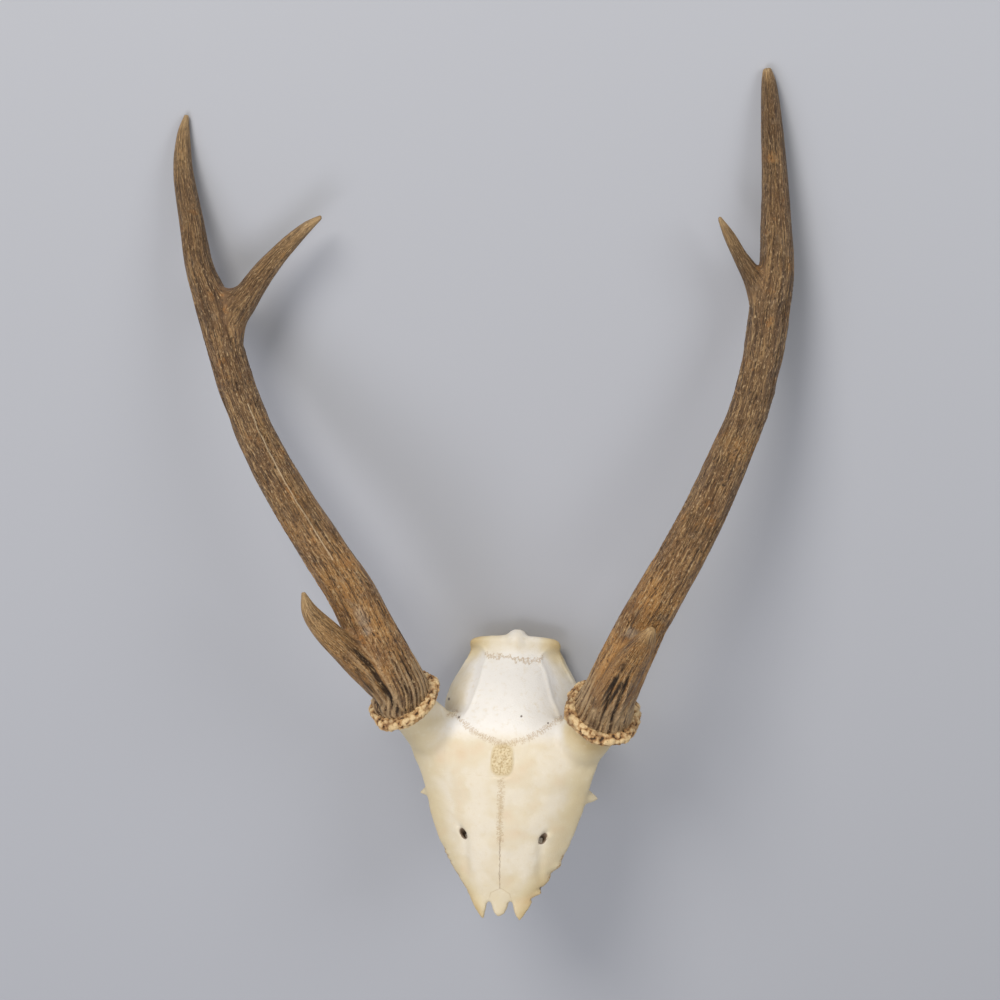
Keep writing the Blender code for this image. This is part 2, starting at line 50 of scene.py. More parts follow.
BODY = (
    (-100, 17.0, 17.0, 2.0), (-90, 22.0, 14.0, 2.0), (-75, 26.0, 8.0, 2.0), (-60, 28.5, 2.0, 2.0),
    (-45, 29.5, 0.0, 2.0), (-25, 32.0, 0.0, 2.0), (-8, 37.5, 0.0, 2.1), (6, 42.3, 0.0, 2.4),
    (18, 42.6, 0.0, 2.55), (30, 39.0, 0.0, 2.45), (42, 32.4, 0.0, 2.3), (54, 25.6, 0.0, 2.1),
)  # place, half width of braincase or nose body, height of its lower edge, squareness of the arch
PLATE = (
    (-113.5, 11.5, 26.0, 2.6), (-110, 14.0, 26.5, 4.0), (-104, 18.0, 27.0, 5.0), (-97, 21.5, 27.0, 6.0),
    (-90, 26.5, 27.0, 6.5), (-83, 31.0, 27.0, 7.0), (-76, 35.0, 27.5, 7.5), (-69, 38.5, 28.5, 8.0),
    (-62, 41.5, 29.5, 8.5), (-54, 44.3, 30.5, 9.0), (-46, 46.8, 31.5, 9.5), (-38, 49.0, 32.5, 10.0),
    (-30, 50.8, 34.5, 10.5), (-22, 53.5, 38.0, 11.0), (-14, 56.8, 41.5, 11.5), (-6, 58.0, 44.5, 12.0),
    (2, 53.0, 46.0, 12.0), (9, 45.0, 45.0, 9.5), (15, 33.0, 43.2, 5.0),
)  # place, half width of the forehead over the orbits, height of its rim, thickness
PLATE_SHIFT = 0.9  # the forehead lies a little to the right
WALL = 5.0
BRAIN_ROOM = (-34, 47, 6.0)  # first and last place, thickness of the bone above it
NOSE_ROOM = (-124, -40, 8.5)
SEATS = {
    "left": ((-58.3, 21.5, 70), (-0.40, 0.69, 0.60)),
    "right": ((60.0, 22, 70), (0.27, 0.63, 0.73)),
}  # middle of the joint between pedicle and antler, and the way that it faces
PEDICLES = (
    (
        (-26, -14, 22, 10), (-36, -7, 32, 14.5), (-45, 2, 45, 15.5),
        (-52.5, 12, 58, 14.2), (-57.5, 20, 68, 13.2),
    ),
    ((26, -14, 22, 10), (36, -7, 32, 14.5), (46.5, 2, 45, 16), (54, 11, 58, 14.8), (58.8, 19, 68, 13.6)),
)  # x, y, z, radius along the stalks that the antlers grew on, and so for every limb below
CREST = (
    (-25.8, 51, 9, 2.0), (-26, 55.2, 13.5, 2.8), (-14, 57, 16, 3.2), (0, 57.4, 17, 4.0),
    (14, 58, 16, 3.2), (24.6, 56.8, 13.5, 2.8), (25.6, 52, 9, 2.0),
)  # the crest across the back of the head
CREST_ROOT = (
    (-24.5, 48, 9.5, 3.2), (-20, 51, 13, 4.2), (-10, 52.5, 16, 4.6), (0, 53, 17, 5.0),
    (10, 53, 16, 4.6), (20, 52, 13, 4.2), (24.5, 49, 9.5, 3.2),
)
KNOB = ((0, 50, 16, 6.5), (0.6, 56, 15.5, 7.4), (0.8, 60.5, 14, 6.6), (0.8, 64.2, 13, 3.8))
SIDE_RIDGE = (
    (25.4, 54, 12, 1.8), (28.8, 46.5, 11.5, 1.2), (34.6, 36, 11, 1.0),
    (39.4, 26, 10, 0.9), (41.7, 18, 9, 0.5),
)  # the low ridge that runs forward from the crest's right end; the left one is its mirror image
SPURS = (
    ((-44, -35, 31, 5), (-49, -37, 28, 3.2), (-53.5, -38.5, 25.5, 0.7)),
    ((44, -31.5, 31, 6.5), (50.5, -33.8, 28.5, 4.4), (57.4, -35, 25.5, 0.7)),
)  # the stubs that stand out behind the eyes
SHELF_POINTS = (
    ((-43, 6, 47, 6), (-42.6, 14, 53, 3.8), (-42.3, 21.5, 57.5, 0.9)),
    ((44, 6, 47, 6), (43, 14, 53, 3.6), (42.5, 20.5, 57, 0.8)),
)  # the fine points behind the forehead's edge
NOSE_NOTCH = (
    (-9.8, -130), (-9.6, -113), (-8.7, -108.2), (-7.7, -103.2), (-5.9, -96.9), (-5.3, -99.4),
    (-4.9, -103), (-3.7, -107), (-2.0, -109.6), (-0.4, -110.8), (1.2, -109.4), (2.8, -109.0),
    (4.6, -105.4), (5.7, -101.6), (6.3, -99.4), (7.1, -96.9), (8.6, -104.6), (9.7, -108.5),
    (12.5, -112.6), (13.0, -130),
)  # what is broken out of the nose's end, seen from above
NOTCH_DEPTH = (-12, 90)
HOLES = (
    ((-28.2, -49.3, 56, 1.4), (-24.3, -55.6, 46.5, 1.6), (-20, -62, 38, 1.8), (-14, -72, 28, 2.0)),
    ((-26.6, -51.2, 56, 1.4), (-22.8, -57.4, 46.5, 1.7), (-18, -65, 38, 1.9), (-12, -75, 28, 2.0)),
    ((31.0, -50.6, 58, 1.4), (28.0, -55.4, 46.0, 1.6), (23.5, -62, 38, 1.8), (17, -72, 28, 2.0)),
    ((29.4, -52.8, 58, 1.4), (26.4, -57.4, 46.0, 1.7), (21.5, -65, 38, 1.9), (15, -75, 28, 2.0)),
)  # the two slanting holes above the eyes, each two bores side by side
HOLE_MOUTHS = ((-23.6, -56.6), (27.0, -56.4))
FURROW_STARTS = ((-1, -21.6), (1, 25.4))  # side, and where the groove from that hole starts across
LUMP_AT, LUMP_HALF = (0.3, -12.0), (6.8, 9.4)  # the porous lump on the midline
SHARP = ((-43, 18, 55, 9), (43, 18, 55, 7))  # x, y, z, reach: fine points that keep their edges
ROOTS = ((-46, -6, 46, 13), (46, -6, 46, 13), (-36, 2, 44, 10), (36, 2, 44, 10))
SPUR_ROOTS = ((-45.5, -35.5, 30, 5), (47, -33.5, 30, 5))
PEDICLE_TOPS = ((-56, 18, 66, 15), (58, 18, 66, 19))  # x, y, z, reach: yellowed round the coronets
RIM_TABS = (
    (-94.8, 1.3, 2.2), (-98.6, 1.2, -1.4), (-91.0, 1.0, -0.9), (-77, 2.2, 1.8), (-82, 1.9, -1.1),
)  # place, half width, how far it stands out: the teeth and gaps of the broken right rim
TEMPORAL = (
    (8, -27, 33), (17, -22.4, 30.8), (26, -19.8, 26.2), (40, -17.6, 20.6), (50, -17.7, 16.6), (54, -21, 20),
)  # place, and where the two temporal lines stand there
CORONAL = (
    (-37, 14.5), (-31, 12.6), (-25, 9), (-20, 5), (-12, 1.2), (-5, -1), (0.5, -2.2),
    (6, -1.2), (13, 1), (20, 4.8), (26, 9), (31, 13), (37, 15.5),
)
LAMBDOID = ((-19, 49.2), (-12, 47.4), (-4, 48.2), (4, 46.8), (11, 46.2), (15, 47), (19, 49.8))
NASAL = ((-5.7, -97.4), (-4.9, -95.0), (1.1, -91.8), (6.4, -95.0), (7.1, -97.4))
OFF_SEAM = 30  # how far off a seam the skin counts as lying where the seam doesn't run
VESSEL_HOLES = (
    (-38.2, 20.1, 0.8), (9.8, 14.5, 0.6), (-28.1, 11.5, 0.6), (26.1, 11.4, 0.5), (25.1, -91.4, 1.0),
)  # x, y, width of the pinholes that fed the bone
ROUGH_STEP, BONE_STEP = 1.0, 0.95  # spacing of the points before it is hollowed, and when finished


def laid_down(points):
    """Skull frame in mm to the shared frame in metres: turned into the rest pose, then shifted."""
    return points * MM @ REST_TURN.T + REST_SHIFT


def smooth_table(rows, at):
    """Values read off a table on a smooth curve: cubic Hermite, with slopes from the rows around."""
    rows = np.array(rows, float)
    keys, values = rows[:, 0], rows[:, 1:]
    slopes = np.gradient(values, keys, axis=0)
    row = np.clip(np.searchsorted(keys, at) - 1, 0, len(keys) - 2)
    width = (keys[row + 1] - keys[row])[..., None]
    t = (at - keys[row])[..., None] / width
    rise, lean_in, lean_out = 3 * t**2 - 2 * t**3, t**3 - 2 * t**2 + t, t**3 - t**2
    bend = width * (lean_in * slopes[row] + lean_out * slopes[row + 1])
    return (1 - rise) * values[row] + rise * values[row + 1] + bend


def step(low, high, x):
    """Smooth rise from 0 at low to 1 at high: 3t^2 - 2t^3."""
    t = np.clip((x - low) / (high - low), 0, 1)
    return t * t * (3 - 2 * t)


def skins(parts):
    """Several closed skins as one set of points and faces: each a grid of rings with a fan at each end."""
    points, faces, start = [], [], 0
    for rings in parts:
        count, around, _ = rings.shape
        index = start + np.arange(count * around).reshape(count, around)
        following = np.roll(index, -1, axis=1)
        quads = np.stack([index[:-1], following[:-1], following[1:], index[1:]], axis=-1).reshape(-1, 4)
        first, last = start + count * around, start + count * around + 1
        points += [rings.reshape(-1, 3), rings[:1].mean(axis=1), rings[-1:].mean(axis=1)]
        fan_first = np.stack([following[0], index[0], np.full(around, first)], axis=-1)
        fan_last = np.stack([index[-1], following[-1], np.full(around, last)], axis=-1)
        faces += quads.tolist() + fan_first.tolist() + fan_last.tolist()
        start += count * around + 2
    return np.concatenate(points), faces


def add_mesh(name, points, faces):
    """A new object whose closed skins all face outwards."""
    mesh = bpy.data.meshes.new(name)
    mesh.from_pydata(points.tolist(), [], faces)
    edit = bmesh.new()
    edit.from_mesh(mesh)
    bmesh.ops.recalc_face_normals(edit, faces=edit.faces)
    edit.to_mesh(mesh)
    edit.free()
    piece = bpy.data.objects.new(name, mesh)
    bpy.context.scene.collection.objects.link(piece)
    return piece


def applied(piece):
    """The piece with its modifiers turned into plain mesh."""
    graph = bpy.context.evaluated_depsgraph_get()
    mesh = bpy.data.meshes.new_from_object(piece.evaluated_get(graph))
    mesh.materials.clear()
    piece.modifiers.clear()
    piece.data = mesh


def even_skin(piece, spacing_mm):
    """Overlapping closed skins become one with even small quads, as bone grows in one piece.

    A grid of two parameters can't fork, so the voxel remesh does the joining.
    """
    remesh = piece.modifiers.new("Even skin", "REMESH")
    remesh.mode = "VOXEL"
    remesh.voxel_size = spacing_mm
    applied(piece)


def points_of(piece):
    flat = np.empty(len(piece.data.vertices) * 3)
    piece.data.vertices.foreach_get("co", flat)
    return flat.reshape(-1, 3)


def normals_of(piece):
    flat = np.empty(len(piece.data.vertices) * 3, np.float32)
    piece.data.vertex_normals.foreach_get("vector", flat)
    return flat.reshape(-1, 3).astype(float)


def put_points(piece, points):
    piece.data.vertices.foreach_set("co", points.ravel())
    piece.data.update()


def edges_of(piece):
    flat = np.empty(len(piece.data.edges) * 2, np.int32)
    piece.data.edges.foreach_get("vertices", flat)
    return flat.reshape(-1, 2).T


def relaxed(points, edges, weight, rounds):
    """Each point moves by its weight towards the mean of its neighbours, round after round."""
    a, b = edges
    size = len(points)
    count = np.bincount(a, minlength=size) + np.bincount(b, minlength=size)
    for _ in range(rounds):
        total = [np.bincount(a, q[b], size) + np.bincount(b, q[a], size) for q in points.T]
        points = points + weight[:, None] * (np.stack(total, axis=1) / count[:, None] - points)
    return points


def near(points, places):
    """How near each point is to the places of x, y, z, r: the greatest exp(-(distance/r)^2)."""
    return np.maximum.reduce([np.exp(-(((points - np.array(p[:3])) / p[3]) ** 2).sum(1)) for p in places])


def store(piece, name, values):
    """A value or a vector for each point, for the material to read."""
    kind = "FLOAT" if values.ndim == 1 else "FLOAT_VECTOR"
    layer = piece.data.attributes.new(name, kind, "POINT")
    layer.data.foreach_set("value" if values.ndim == 1 else "vector", values.astype(np.float32).ravel())


def lattice_noise(u, v, around, seed):
    """Smooth noise from -1 to 1: seeded values at the corners of a lattice, blended by 3f^2 - 2f^3.

    It comes round again every `around` cells in u, and only after many cells in v.
    """
    rows = 512
    draw = np.random.default_rng(seed).uniform(-1, 1, (around, rows))
    cell_u, cell_v = np.floor(u).astype(int), np.floor(v).astype(int)
    fu, fv = u - cell_u, v - cell_v
    fu, fv = fu * fu * (3 - 2 * fu), fv * fv * (3 - 2 * fv)
    a, b = cell_u % around, (cell_u + 1) % around
    c, d = cell_v % rows, (cell_v + 1) % rows
    low = draw[a, c] * (1 - fu) + draw[b, c] * fu
    high = draw[a, d] * (1 - fu) + draw[b, d] * fu
    return low * (1 - fv) + high * fv


def limb(stations, spacing=1.5, around=48):
    """A round limb: rings p + r (side sin t + front cos t) along the smooth path through its stations."""
    numbered = [(i, *s) for i, s in enumerate(stations)]
    fine = smooth_table(numbered, np.linspace(0, len(stations) - 1, 2000))
    along = np.concatenate([[0], np.cumsum(np.linalg.norm(np.diff(fine[:, :3], axis=0), axis=1))])
    wanted = np.linspace(0, along[-1], max(8, int(along[-1] / spacing)))
    path = np.stack([np.interp(wanted, along, fine[:, k]) for k in range(4)], axis=1)
    path[:, 3] = np.maximum(path[:, 3], min(s[3] for s in stations))
    ahead = np.gradient(path[:, :3], axis=0)
    ahead /= np.linalg.norm(ahead, axis=1)[:, None]
    side = np.cross(ahead, (0.0, 0.0, 1.0))
    side /= np.linalg.norm(side, axis=1)[:, None]
    front = np.cross(side, ahead)
    turn = np.linspace(0, 2 * np.pi, around, endpoint=False)
    ring = side[:, None] * np.sin(turn)[None, :, None] + front[:, None] * np.cos(turn)[None, :, None]
    rings = path[:, None, :3] + ring * path[:, None, 3:]
    middle = {"at": path[:, :3], "radius": path[:, 3], "along": wanted}
    return rings, {**middle, "ahead": ahead, "side": side, "front": front}


def crown_height(y):
    return smooth_table(CROWN, y)[..., 0]


def arch(half, top, low, square, count):
    """An arch x = w sin a, z = low + (top - low)(1 - |sin a|^n)^(1/n), with a from -90 to 90 degrees."""
    share = np.sin(np.linspace(-np.pi / 2, np.pi / 2, count))[None, :]
    half, top, low, square = (np.broadcast_to(v, (len(half),))[:, None] for v in (half, top, low, square))
    return half * share, low + (top - low) * np.maximum(1 - np.abs(share) ** square, 0) ** (1 / square)


def skull_body():
    """Braincase and nose body: arches along Y, which lean back over the saw cut towards the crest."""
    y = np.arange(-100, 54.5, 2.0)
    half, low, square = smooth_table(BODY, y).T
    lean = 0.2 * np.clip((y - 30) / 20, 0, 1)
    top = crown_height(y)
    for _ in range(3):
        top = crown_height(y + lean * top)
    x, z = arch(half, top - 1.5 * (y < 10), np.maximum(low, 0), square, 61)
    return np.stack([x, y[:, None] + lean[:, None] * z, z], axis=-1)


def forehead_plate():
    """A bent lens: x = w cos a, middle height = rim + (crown - rim)(1 - |x/w|^2.6), thickness by sin a."""
    y = np.arange(-113.5, 15.01, 1.5)
    half, rim, thick = smooth_table(PLATE, y).T
    a = np.linspace(0, 2 * np.pi, 160, endpoint=False)
    across = np.sign(np.cos(a)) * np.abs(np.cos(a)) ** 0.9
    middle = rim[:, None] + (crown_height(y) - thick / 2 - rim)[:, None] * (1 - np.abs(across) ** 2.6)
    x = half[:, None] * across + PLATE_SHIFT * np.clip(-y / 25, 0, 1)[:, None]
    z = middle + thick[:, None] / 2 * np.sign(np.sin(a)) * np.abs(np.sin(a)) ** 0.7
    return np.stack([x, np.broadcast_to(y[:, None], x.shape), z], axis=-1)


def hollow(first, last, ceiling, open_front=False):
    """The room inside: arches a wall's thickness within the body.

    They shrink by (1 - |place|^4)^(1/2) to nearly nothing at a closed end.
    """
    y = np.linspace(first, last, 60)
    half, _, square = smooth_table(BODY, y).T
    share = np.abs((y - (first + last) / 2) / ((last - first) / 2))
    swell = np.sqrt(np.maximum(1 - share**4, 0.03))
    if open_front:
        swell = np.where(y < (first + last) / 2, 1.0, swell)
    top = np.maximum((crown_height(y) - ceiling) * swell, 1.0)
    x, z = arch(np.maximum((half - WALL) * swell, 1.0), top, -4.0, square, 41)
    return np.stack([x, np.broadcast_to(y[:, None], x.shape), z], axis=-1)


def upright_prism(outline, low, high):
    """An outline seen from above, drawn out between two heights."""
    ring = np.array(outline, float)
    return np.stack([np.column_stack([ring, np.full(len(ring), z)]) for z in (low, high)])


mirrored = tuple((-x, y, z, r) for x, y, z, r in SIDE_RIDGE)
solid_skins = [skull_body(), forehead_plate()]
solid_skins += [limb(bar)[0] for bar in (CREST, CREST_ROOT, KNOB, *PEDICLES, *SPURS, *SHELF_POINTS)]
solid_skins += [limb(line, around=16)[0] for line in (SIDE_RIDGE, mirrored)]
bone = add_mesh("skull_cap", *skins(solid_skins))
even_skin(bone, ROUGH_STEP)
bores = [limb(hole, around=16) for hole in HOLES]
cut_outs = [hollow(*BRAIN_ROOM), hollow(*NOSE_ROOM, open_front=True)]
cut_outs += [upright_prism(NOSE_NOTCH, *NOTCH_DEPTH)] + [rings for rings, _ in bores]
for number, grid in enumerate(cut_outs):
    tool = add_mesh(f"hollow_{number}", *skins([grid]))
    cut = bone.modifiers.new("Hollow", "BOOLEAN")
    cut.operation, cut.object, cut.solver = "DIFFERENCE", tool, "MANIFOLD"
    applied(bone)
    bpy.data.objects.remove(tool)
even_skin(bone, BONE_STEP)

# The forms flow into each other: at the pedicles' roots, where the forehead meets the vault, and at
# the spurs. The fine points, the notch and the saw cut keep their edges.
p = points_of(bone)
edges = edges_of(bone)
keep = np.minimum(1.0, 1.4 * near(p, SHARP))
root = near(p, ROOTS) * (1 - keep)
ledge = step(31, 21, np.abs(p[:, 0])) * step(3, 9, p[:, 1]) * step(27, 19, p[:, 1]) * (p[:, 2] > 34)
spur_root = near(p, SPUR_ROOTS)
crest_root = step(30, 20, np.abs(p[:, 0])) * step(43, 47, p[:, 1]) * step(57, 53, p[:, 1]) * (p[:, 2] > 9)
flat = p[:, 2] < 0.9
p = relaxed(p, edges, np.where(flat, 0.15, (0.5 + 0.4 * root) * (1 - 0.85 * keep)), 7)
p = relaxed(p, edges, 0.9 * np.maximum.reduce([root, 0.8 * spur_root, 0.7 * crest_root]), 36)
p = relaxed(p, edges, 0.95 * ledge, 80)
p[:, 2] = np.where(p[:, 2] < 0.7, 0.0, p[:, 2])
put_points(bone, p)


def seam_place(p, line):
    """Where each point lies by a line seen from above: how far along it, and how far behind it."""
    a, b = np.array(line[:-1], float), np.array(line[1:], float)
    run = b - a
    length = np.linalg.norm(run, axis=1)
    before = np.concatenate([[0], np.cumsum(length)[:-1]])
    offset = p[:, None, :2] - a[None]
    t = np.clip((offset * run).sum(-1) / length**2, 0, 1)
    far = np.linalg.norm(offset - t[..., None] * run, axis=-1)
    rows, best = np.arange(len(p)), far.argmin(axis=1)
    turn = run[best, 0] * offset[rows, best, 1] - run[best, 1] * offset[rows, best, 0]
    return before[best] + t[rows, best] * length[best], far[rows, best] * np.sign(turn)


n = normals_of(bone)
upward = step(0.15, 0.5, n[:, 2])
x, y, z = p.T
half_here = smooth_table([row[:2] for row in PLATE] + [(30, 41), (54, 29)], np.clip(y, -113, 54))[:, 0]
lift = np.zeros(len(p))

# Temporal lines, the low ridges where the jaw muscles ended, with the bone hollowed outside them
left_line, right_line = smooth_table(TEMPORAL, np.clip(y, 8, 54)).T
beyond = np.maximum(left_line - x, x - right_line)
on_vault = step(7, 15, y) * step(56, 50, y) * step(0.0, 0.3, n[:, 2]) * (z > 10)
lift += 0.6 * np.exp(-((beyond / 1.2) ** 2)) * on_vault
lift -= 1.0 * step(0.0, 6, beyond) * step(24, 12, beyond) * on_vault

# Grooves that run from the two small holes towards the nose, with a step on their inner side
for sign, start_x in FURROW_STARTS:
    middle = start_x - sign * 0.05 * (-60 - y)
    across = (x - middle) * sign
    fade = step(-57, -63, y) * step(-97, -78, y) * upward
    ditch = 0.8 * np.exp(-((across / 3.0) ** 2))
    lift -= (ditch + 0.35 * step(-2.5, 2.5, across) * step(14, 4, across)) * fade
    lift -= 0.4 * np.exp(-(((x - start_x - sign * 3.6) / 2.4) ** 2) - ((y + 54.5) / 2.4) ** 2) * upward

# Porous lump on the midline in front of the seam, squarish, with a smooth swelling below it
oval = np.abs((x - LUMP_AT[0]) / LUMP_HALF[0]) ** 3 + np.abs((y - LUMP_AT[1]) / LUMP_HALF[1]) ** 3
oval = oval ** (1 / 3)
lift += (0.5 * step(1.04, 0.84, oval) - 0.3 * np.exp(-(((oval - 1.08) / 0.08) ** 2))) * upward
lift += 0.45 * step(1.0, 0.8, oval) * upward * lattice_noise(x / 1.5 + 40, y / 1.5 + 40, 64, 5)
lift += 0.4 * np.exp(-(((x - LUMP_AT[0]) / 6.0) ** 2) - ((y + 23.5) / 1.6) ** 2) * upward

# Broad, slight unevenness of grown bone
uneven = 0.25 * lattice_noise(x / 10 + 20, y / 10 + 30, 64, 1)
lift += uneven + 0.12 * lattice_noise(x / 4 + 20, y / 4 + 60, 64, 2)
p = p + n * lift[:, None]
p[:, 2] = np.maximum(p[:, 2], 0.0)

# The broken rims of the orbits are thin and ragged towards the nose
rim = step(0.84, 1.0, np.abs(x - PLATE_SHIFT) / half_here) * step(-60, -72, y) * step(-104, -98, y)
ragged = lattice_noise(y / 4.1 + 60, np.sign(x) * 3 + 9, 64, 9)
ragged += 0.6 * lattice_noise(y / 1.7 + 99, np.sign(x) * 3 + z / 6 + 9, 128, 10)
p[:, 0] -= np.sign(x) * rim * (0.2 + np.where(x < 0, 0.8, 0.35) * ragged)
tabs = sum(out * np.exp(-(((y - at) / half) ** 2)) for at, half, out in RIM_TABS)
p[:, 0] += (x > 0) * rim * tabs
put_points(bone, laid_down(p))
bone.data.shade_smooth()

# How deep each point lies in one of the two holes, under the skin around it and near the bores: there the
# material paints the holes' inside dark brown as painted shade
bore = np.zeros(len(p))
axes = np.concatenate([path["at"] for _, path in bores])
for mouth_x, mouth_y in HOLE_MOUTHS:
    inside = (np.hypot(x - mouth_x, y - mouth_y) < 9) & (z > 28)
    levelled = (z + (x - mouth_x) * np.sign(mouth_x) * 0.25)[inside]
    around_hole = np.column_stack([x, y, z])[inside]
    off_axis = np.linalg.norm(around_hole[:, None] - axes[None], axis=2).min(axis=1)
    sunk = np.percentile(levelled, 85) - levelled
    bore[inside] = step(0.7, 2.4, sunk) * step(3.0, 2.4, off_axis)

# The seams: how far each point lies along and behind each of them
on_top = (n[:, 2] > 0.05) & (z > 8)
for name, line, runs_here in (
    ("coronal", CORONAL, on_top & (x > -35) & (x < 35)),
    ("lambdoid", LAMBDOID, on_top & (np.abs(x) < 18.5)),
    ("nasal", NASAL, on_top),
):
    along, behind = seam_place(p, line)
    store(bone, name, np.column_stack([along, np.where(runs_here, behind, OFF_SEAM), z * 0]))
store(bone, "midline", np.column_stack([y, np.where(on_top & (y < -22), x - 0.5, OFF_SEAM), z * 0]))

# Where the bone is porous, thin and yellow, forehead or broken, for the material
store(bone, "place", p)
store(bone, "bore", bore)
store(bone, "lump", step(1.14, 0.88, oval) * upward)
edge_share = np.abs(x) / half_here
aged = 0.62 * step(0.45, 0.98, edge_share) + 0.6 * step(-60, -112, y) + 0.45 * step(42, 56, y)
aged += 0.2 * step(2, 9, beyond) * on_vault + 0.6 * step(0.1, -0.3, n[:, 2])
aged -= 0.3 * step(0.45, 0.98, edge_share) * on_vault
aged += near(p, PEDICLE_TOPS) * np.where(x < 0, 0.25, 0.75)
store(bone, "aged", np.clip(aged, 0, 1.2))
store(bone, "front", step(10, -4, y))
store(bone, "rim", rim)


def linear(text):
    """An sRGB hex colour as linear light: c/12.92 when dark, else ((c + 0.055)/1.055)^2.4."""
    c = np.array([int(text[i : i + 2], 16) for i in (0, 2, 4)]) / 255
    return (*np.where(c <= 0.04045, c / 12.92, ((c + 0.055) / 1.055) ** 2.4).tolist(), 1.0)


def add(tree, kind, inputs, output=0, **settings):
    """Adds one node with its settings, each input set or linked, and gives back one of its outputs."""
    node = tree.nodes.new(kind)
    for name, value in settings.items():
        setattr(node, name, value)
    for name, value in inputs.items():
        if isinstance(value, bpy.types.NodeSocket):
            tree.links.new(value, node.inputs[name])
        else:
            node.inputs[name].default_value = value
    return node.outputs[output]


def new_finish(name, roughness, ior):
    """An empty material of that name, its nodes, and its shader with the gloss set."""
    finish = bpy.data.materials.new(name)
    finish.use_nodes = True
    shader = finish.node_tree.nodes["Principled BSDF"]
    shader.inputs["Roughness"].default_value = roughness
    shader.inputs["IOR"].default_value = ior
    return finish, finish.node_tree, shader


def stained(tree, colour, layers):
    """Colours laid over one another, each where its value goes from low (none) to high (its full share)."""
    for value, low, high, share, stain in layers:
        limits = {"Value": value, "From Min": low, "From Max": high, "To Min": 0.0, "To Max": share}
        amount = add(tree, "ShaderNodeMapRange", limits, interpolation_type="SMOOTHSTEP")
        colour = add(tree, "ShaderNodeMix", {0: amount, 6: colour, 7: linear(stain)}, 2, data_type="RGBA")
    return colour


def stitches(tree, seam, reach, stitch, width, spread):
    """A bone seam: thin wandering lines where |behind + reach (2 noise - 1)| is nearly nothing.

    The noise changes quickly along the seam (one stitch in mm) and slowly across it, so the lines
    swing to and fro over it as interlocked teeth do. They fade beyond the spread. Real stitches are
    about a millimetre long and hair-thin; here they are longer and 0.5 mm wide, so that they show.
    """
    behind = add(tree, "ShaderNodeSeparateXYZ", {0: seam}, 1)
    lines = 0.0
    for shift in (3.0, 41.0, 77.0):
        squeeze = {"Vector": seam, "Location": (shift, shift, 0.0), "Scale": (1 / stitch, 0.3 / stitch, 1.0)}
        where = add(tree, "ShaderNodeMapping", squeeze)
        wander = {"Vector": where, "Scale": 1.0, "Detail": 3.0, "Roughness": 0.65}
        wave = add(tree, "ShaderNodeTexNoise", wander)
        swing = add(tree, "ShaderNodeMath", {0: wave, 1: 2.0 * reach, 2: -reach}, operation="MULTIPLY_ADD")
        gap = add(tree, "ShaderNodeMath", {0: behind, 1: swing}, operation="ADD")
        gap = add(tree, "ShaderNodeMath", {0: gap}, operation="ABSOLUTE")
        line = add(tree, "ShaderNodeMapRange", {"Value": gap, "From Min": width, "From Max": 0.1 * width})
        lines = add(tree, "ShaderNodeMath", {0: line, 1: lines}, operation="MAXIMUM")
    far = add(tree, "ShaderNodeMath", {0: behind}, operation="ABSOLUTE")
    held = add(tree, "ShaderNodeMapRange", {"Value": far, "From Min": spread, "From Max": 0.6 * spread})
    return add(tree, "ShaderNodeMath", {0: lines, 1: held}, operation="MULTIPLY")


# Degreased and bleached bone: chalky white on the vault, cream on the forehead, and yellow where it
# is thin or porous. It is matt with a faint waxy light, and its seams show as fine tan stitches.
# Real pores are 0.2 mm wide; the pattern of pores is drawn coarser, about 1 mm, so that it shows.
bleached_bone, tree, shader = new_finish("bleached_bone", 0.5, 1.5)
place = add(tree, "ShaderNodeAttribute", {}, "Vector", attribute_name="place")
along_y = add(tree, "ShaderNodeSeparateXYZ", {0: place}, 1)
patches = add(tree, "ShaderNodeTexNoise", {"Vector": place, "Scale": 0.04, "Detail": 3.0})
mottle = add(tree, "ShaderNodeTexNoise", {"Vector": place, "Scale": 0.3, "Detail": 4.0, "Roughness": 0.6})
pores = add(tree, "ShaderNodeTexNoise", {"Vector": place, "Scale": 0.8, "Detail": 3.0, "Roughness": 0.6})
aged, front, lump, broken, bore = (
    add(tree, "ShaderNodeAttribute", {}, "Fac", attribute_name=name)
    for name in ("aged", "front", "lump", "rim", "bore")
)
aged = add(tree, "ShaderNodeMath", {0: patches, 1: 0.9, 2: aged}, operation="MULTIPLY_ADD")
lump_pores = add(tree, "ShaderNodeMath", {0: lump, 1: pores}, operation="MULTIPLY")
broken = add(tree, "ShaderNodeMath", {0: broken, 1: pores}, operation="MULTIPLY")
blush = add(tree, "ShaderNodeTexNoise", {"Vector": place, "Scale": 0.055, "Detail": 2.0})
blush = add(tree, "ShaderNodeMath", {0: blush, 1: front}, operation="MULTIPLY")
colour = stained(tree, linear("f4f1ec"), (
    (front, 0.0, 1.0, 0.9, "e7dcc6"),
    (aged, 0.6, 1.15, 0.9, "decea8"),
    (aged, 1.05, 1.6, 0.9, "c8af7d"),
    (mottle, 0.5, 0.78, 0.3, "d9c69e"),
    (mottle, 0.45, 0.25, 0.15, "fbf8f0"),
    (blush, 0.4, 0.56, 0.35, "dccba4"),
    (blush, 0.5, 0.8, 0.3, "dfb78c"),
    (lump, 0.0, 1.0, 0.7, "d6c193"),
    (lump_pores, 0.48, 0.66, 0.55, "efe0bc"),
))
hollows = add(tree, "ShaderNodeMath", {0: lump, 1: lump_pores}, operation="SUBTRACT")
seams = 0.0
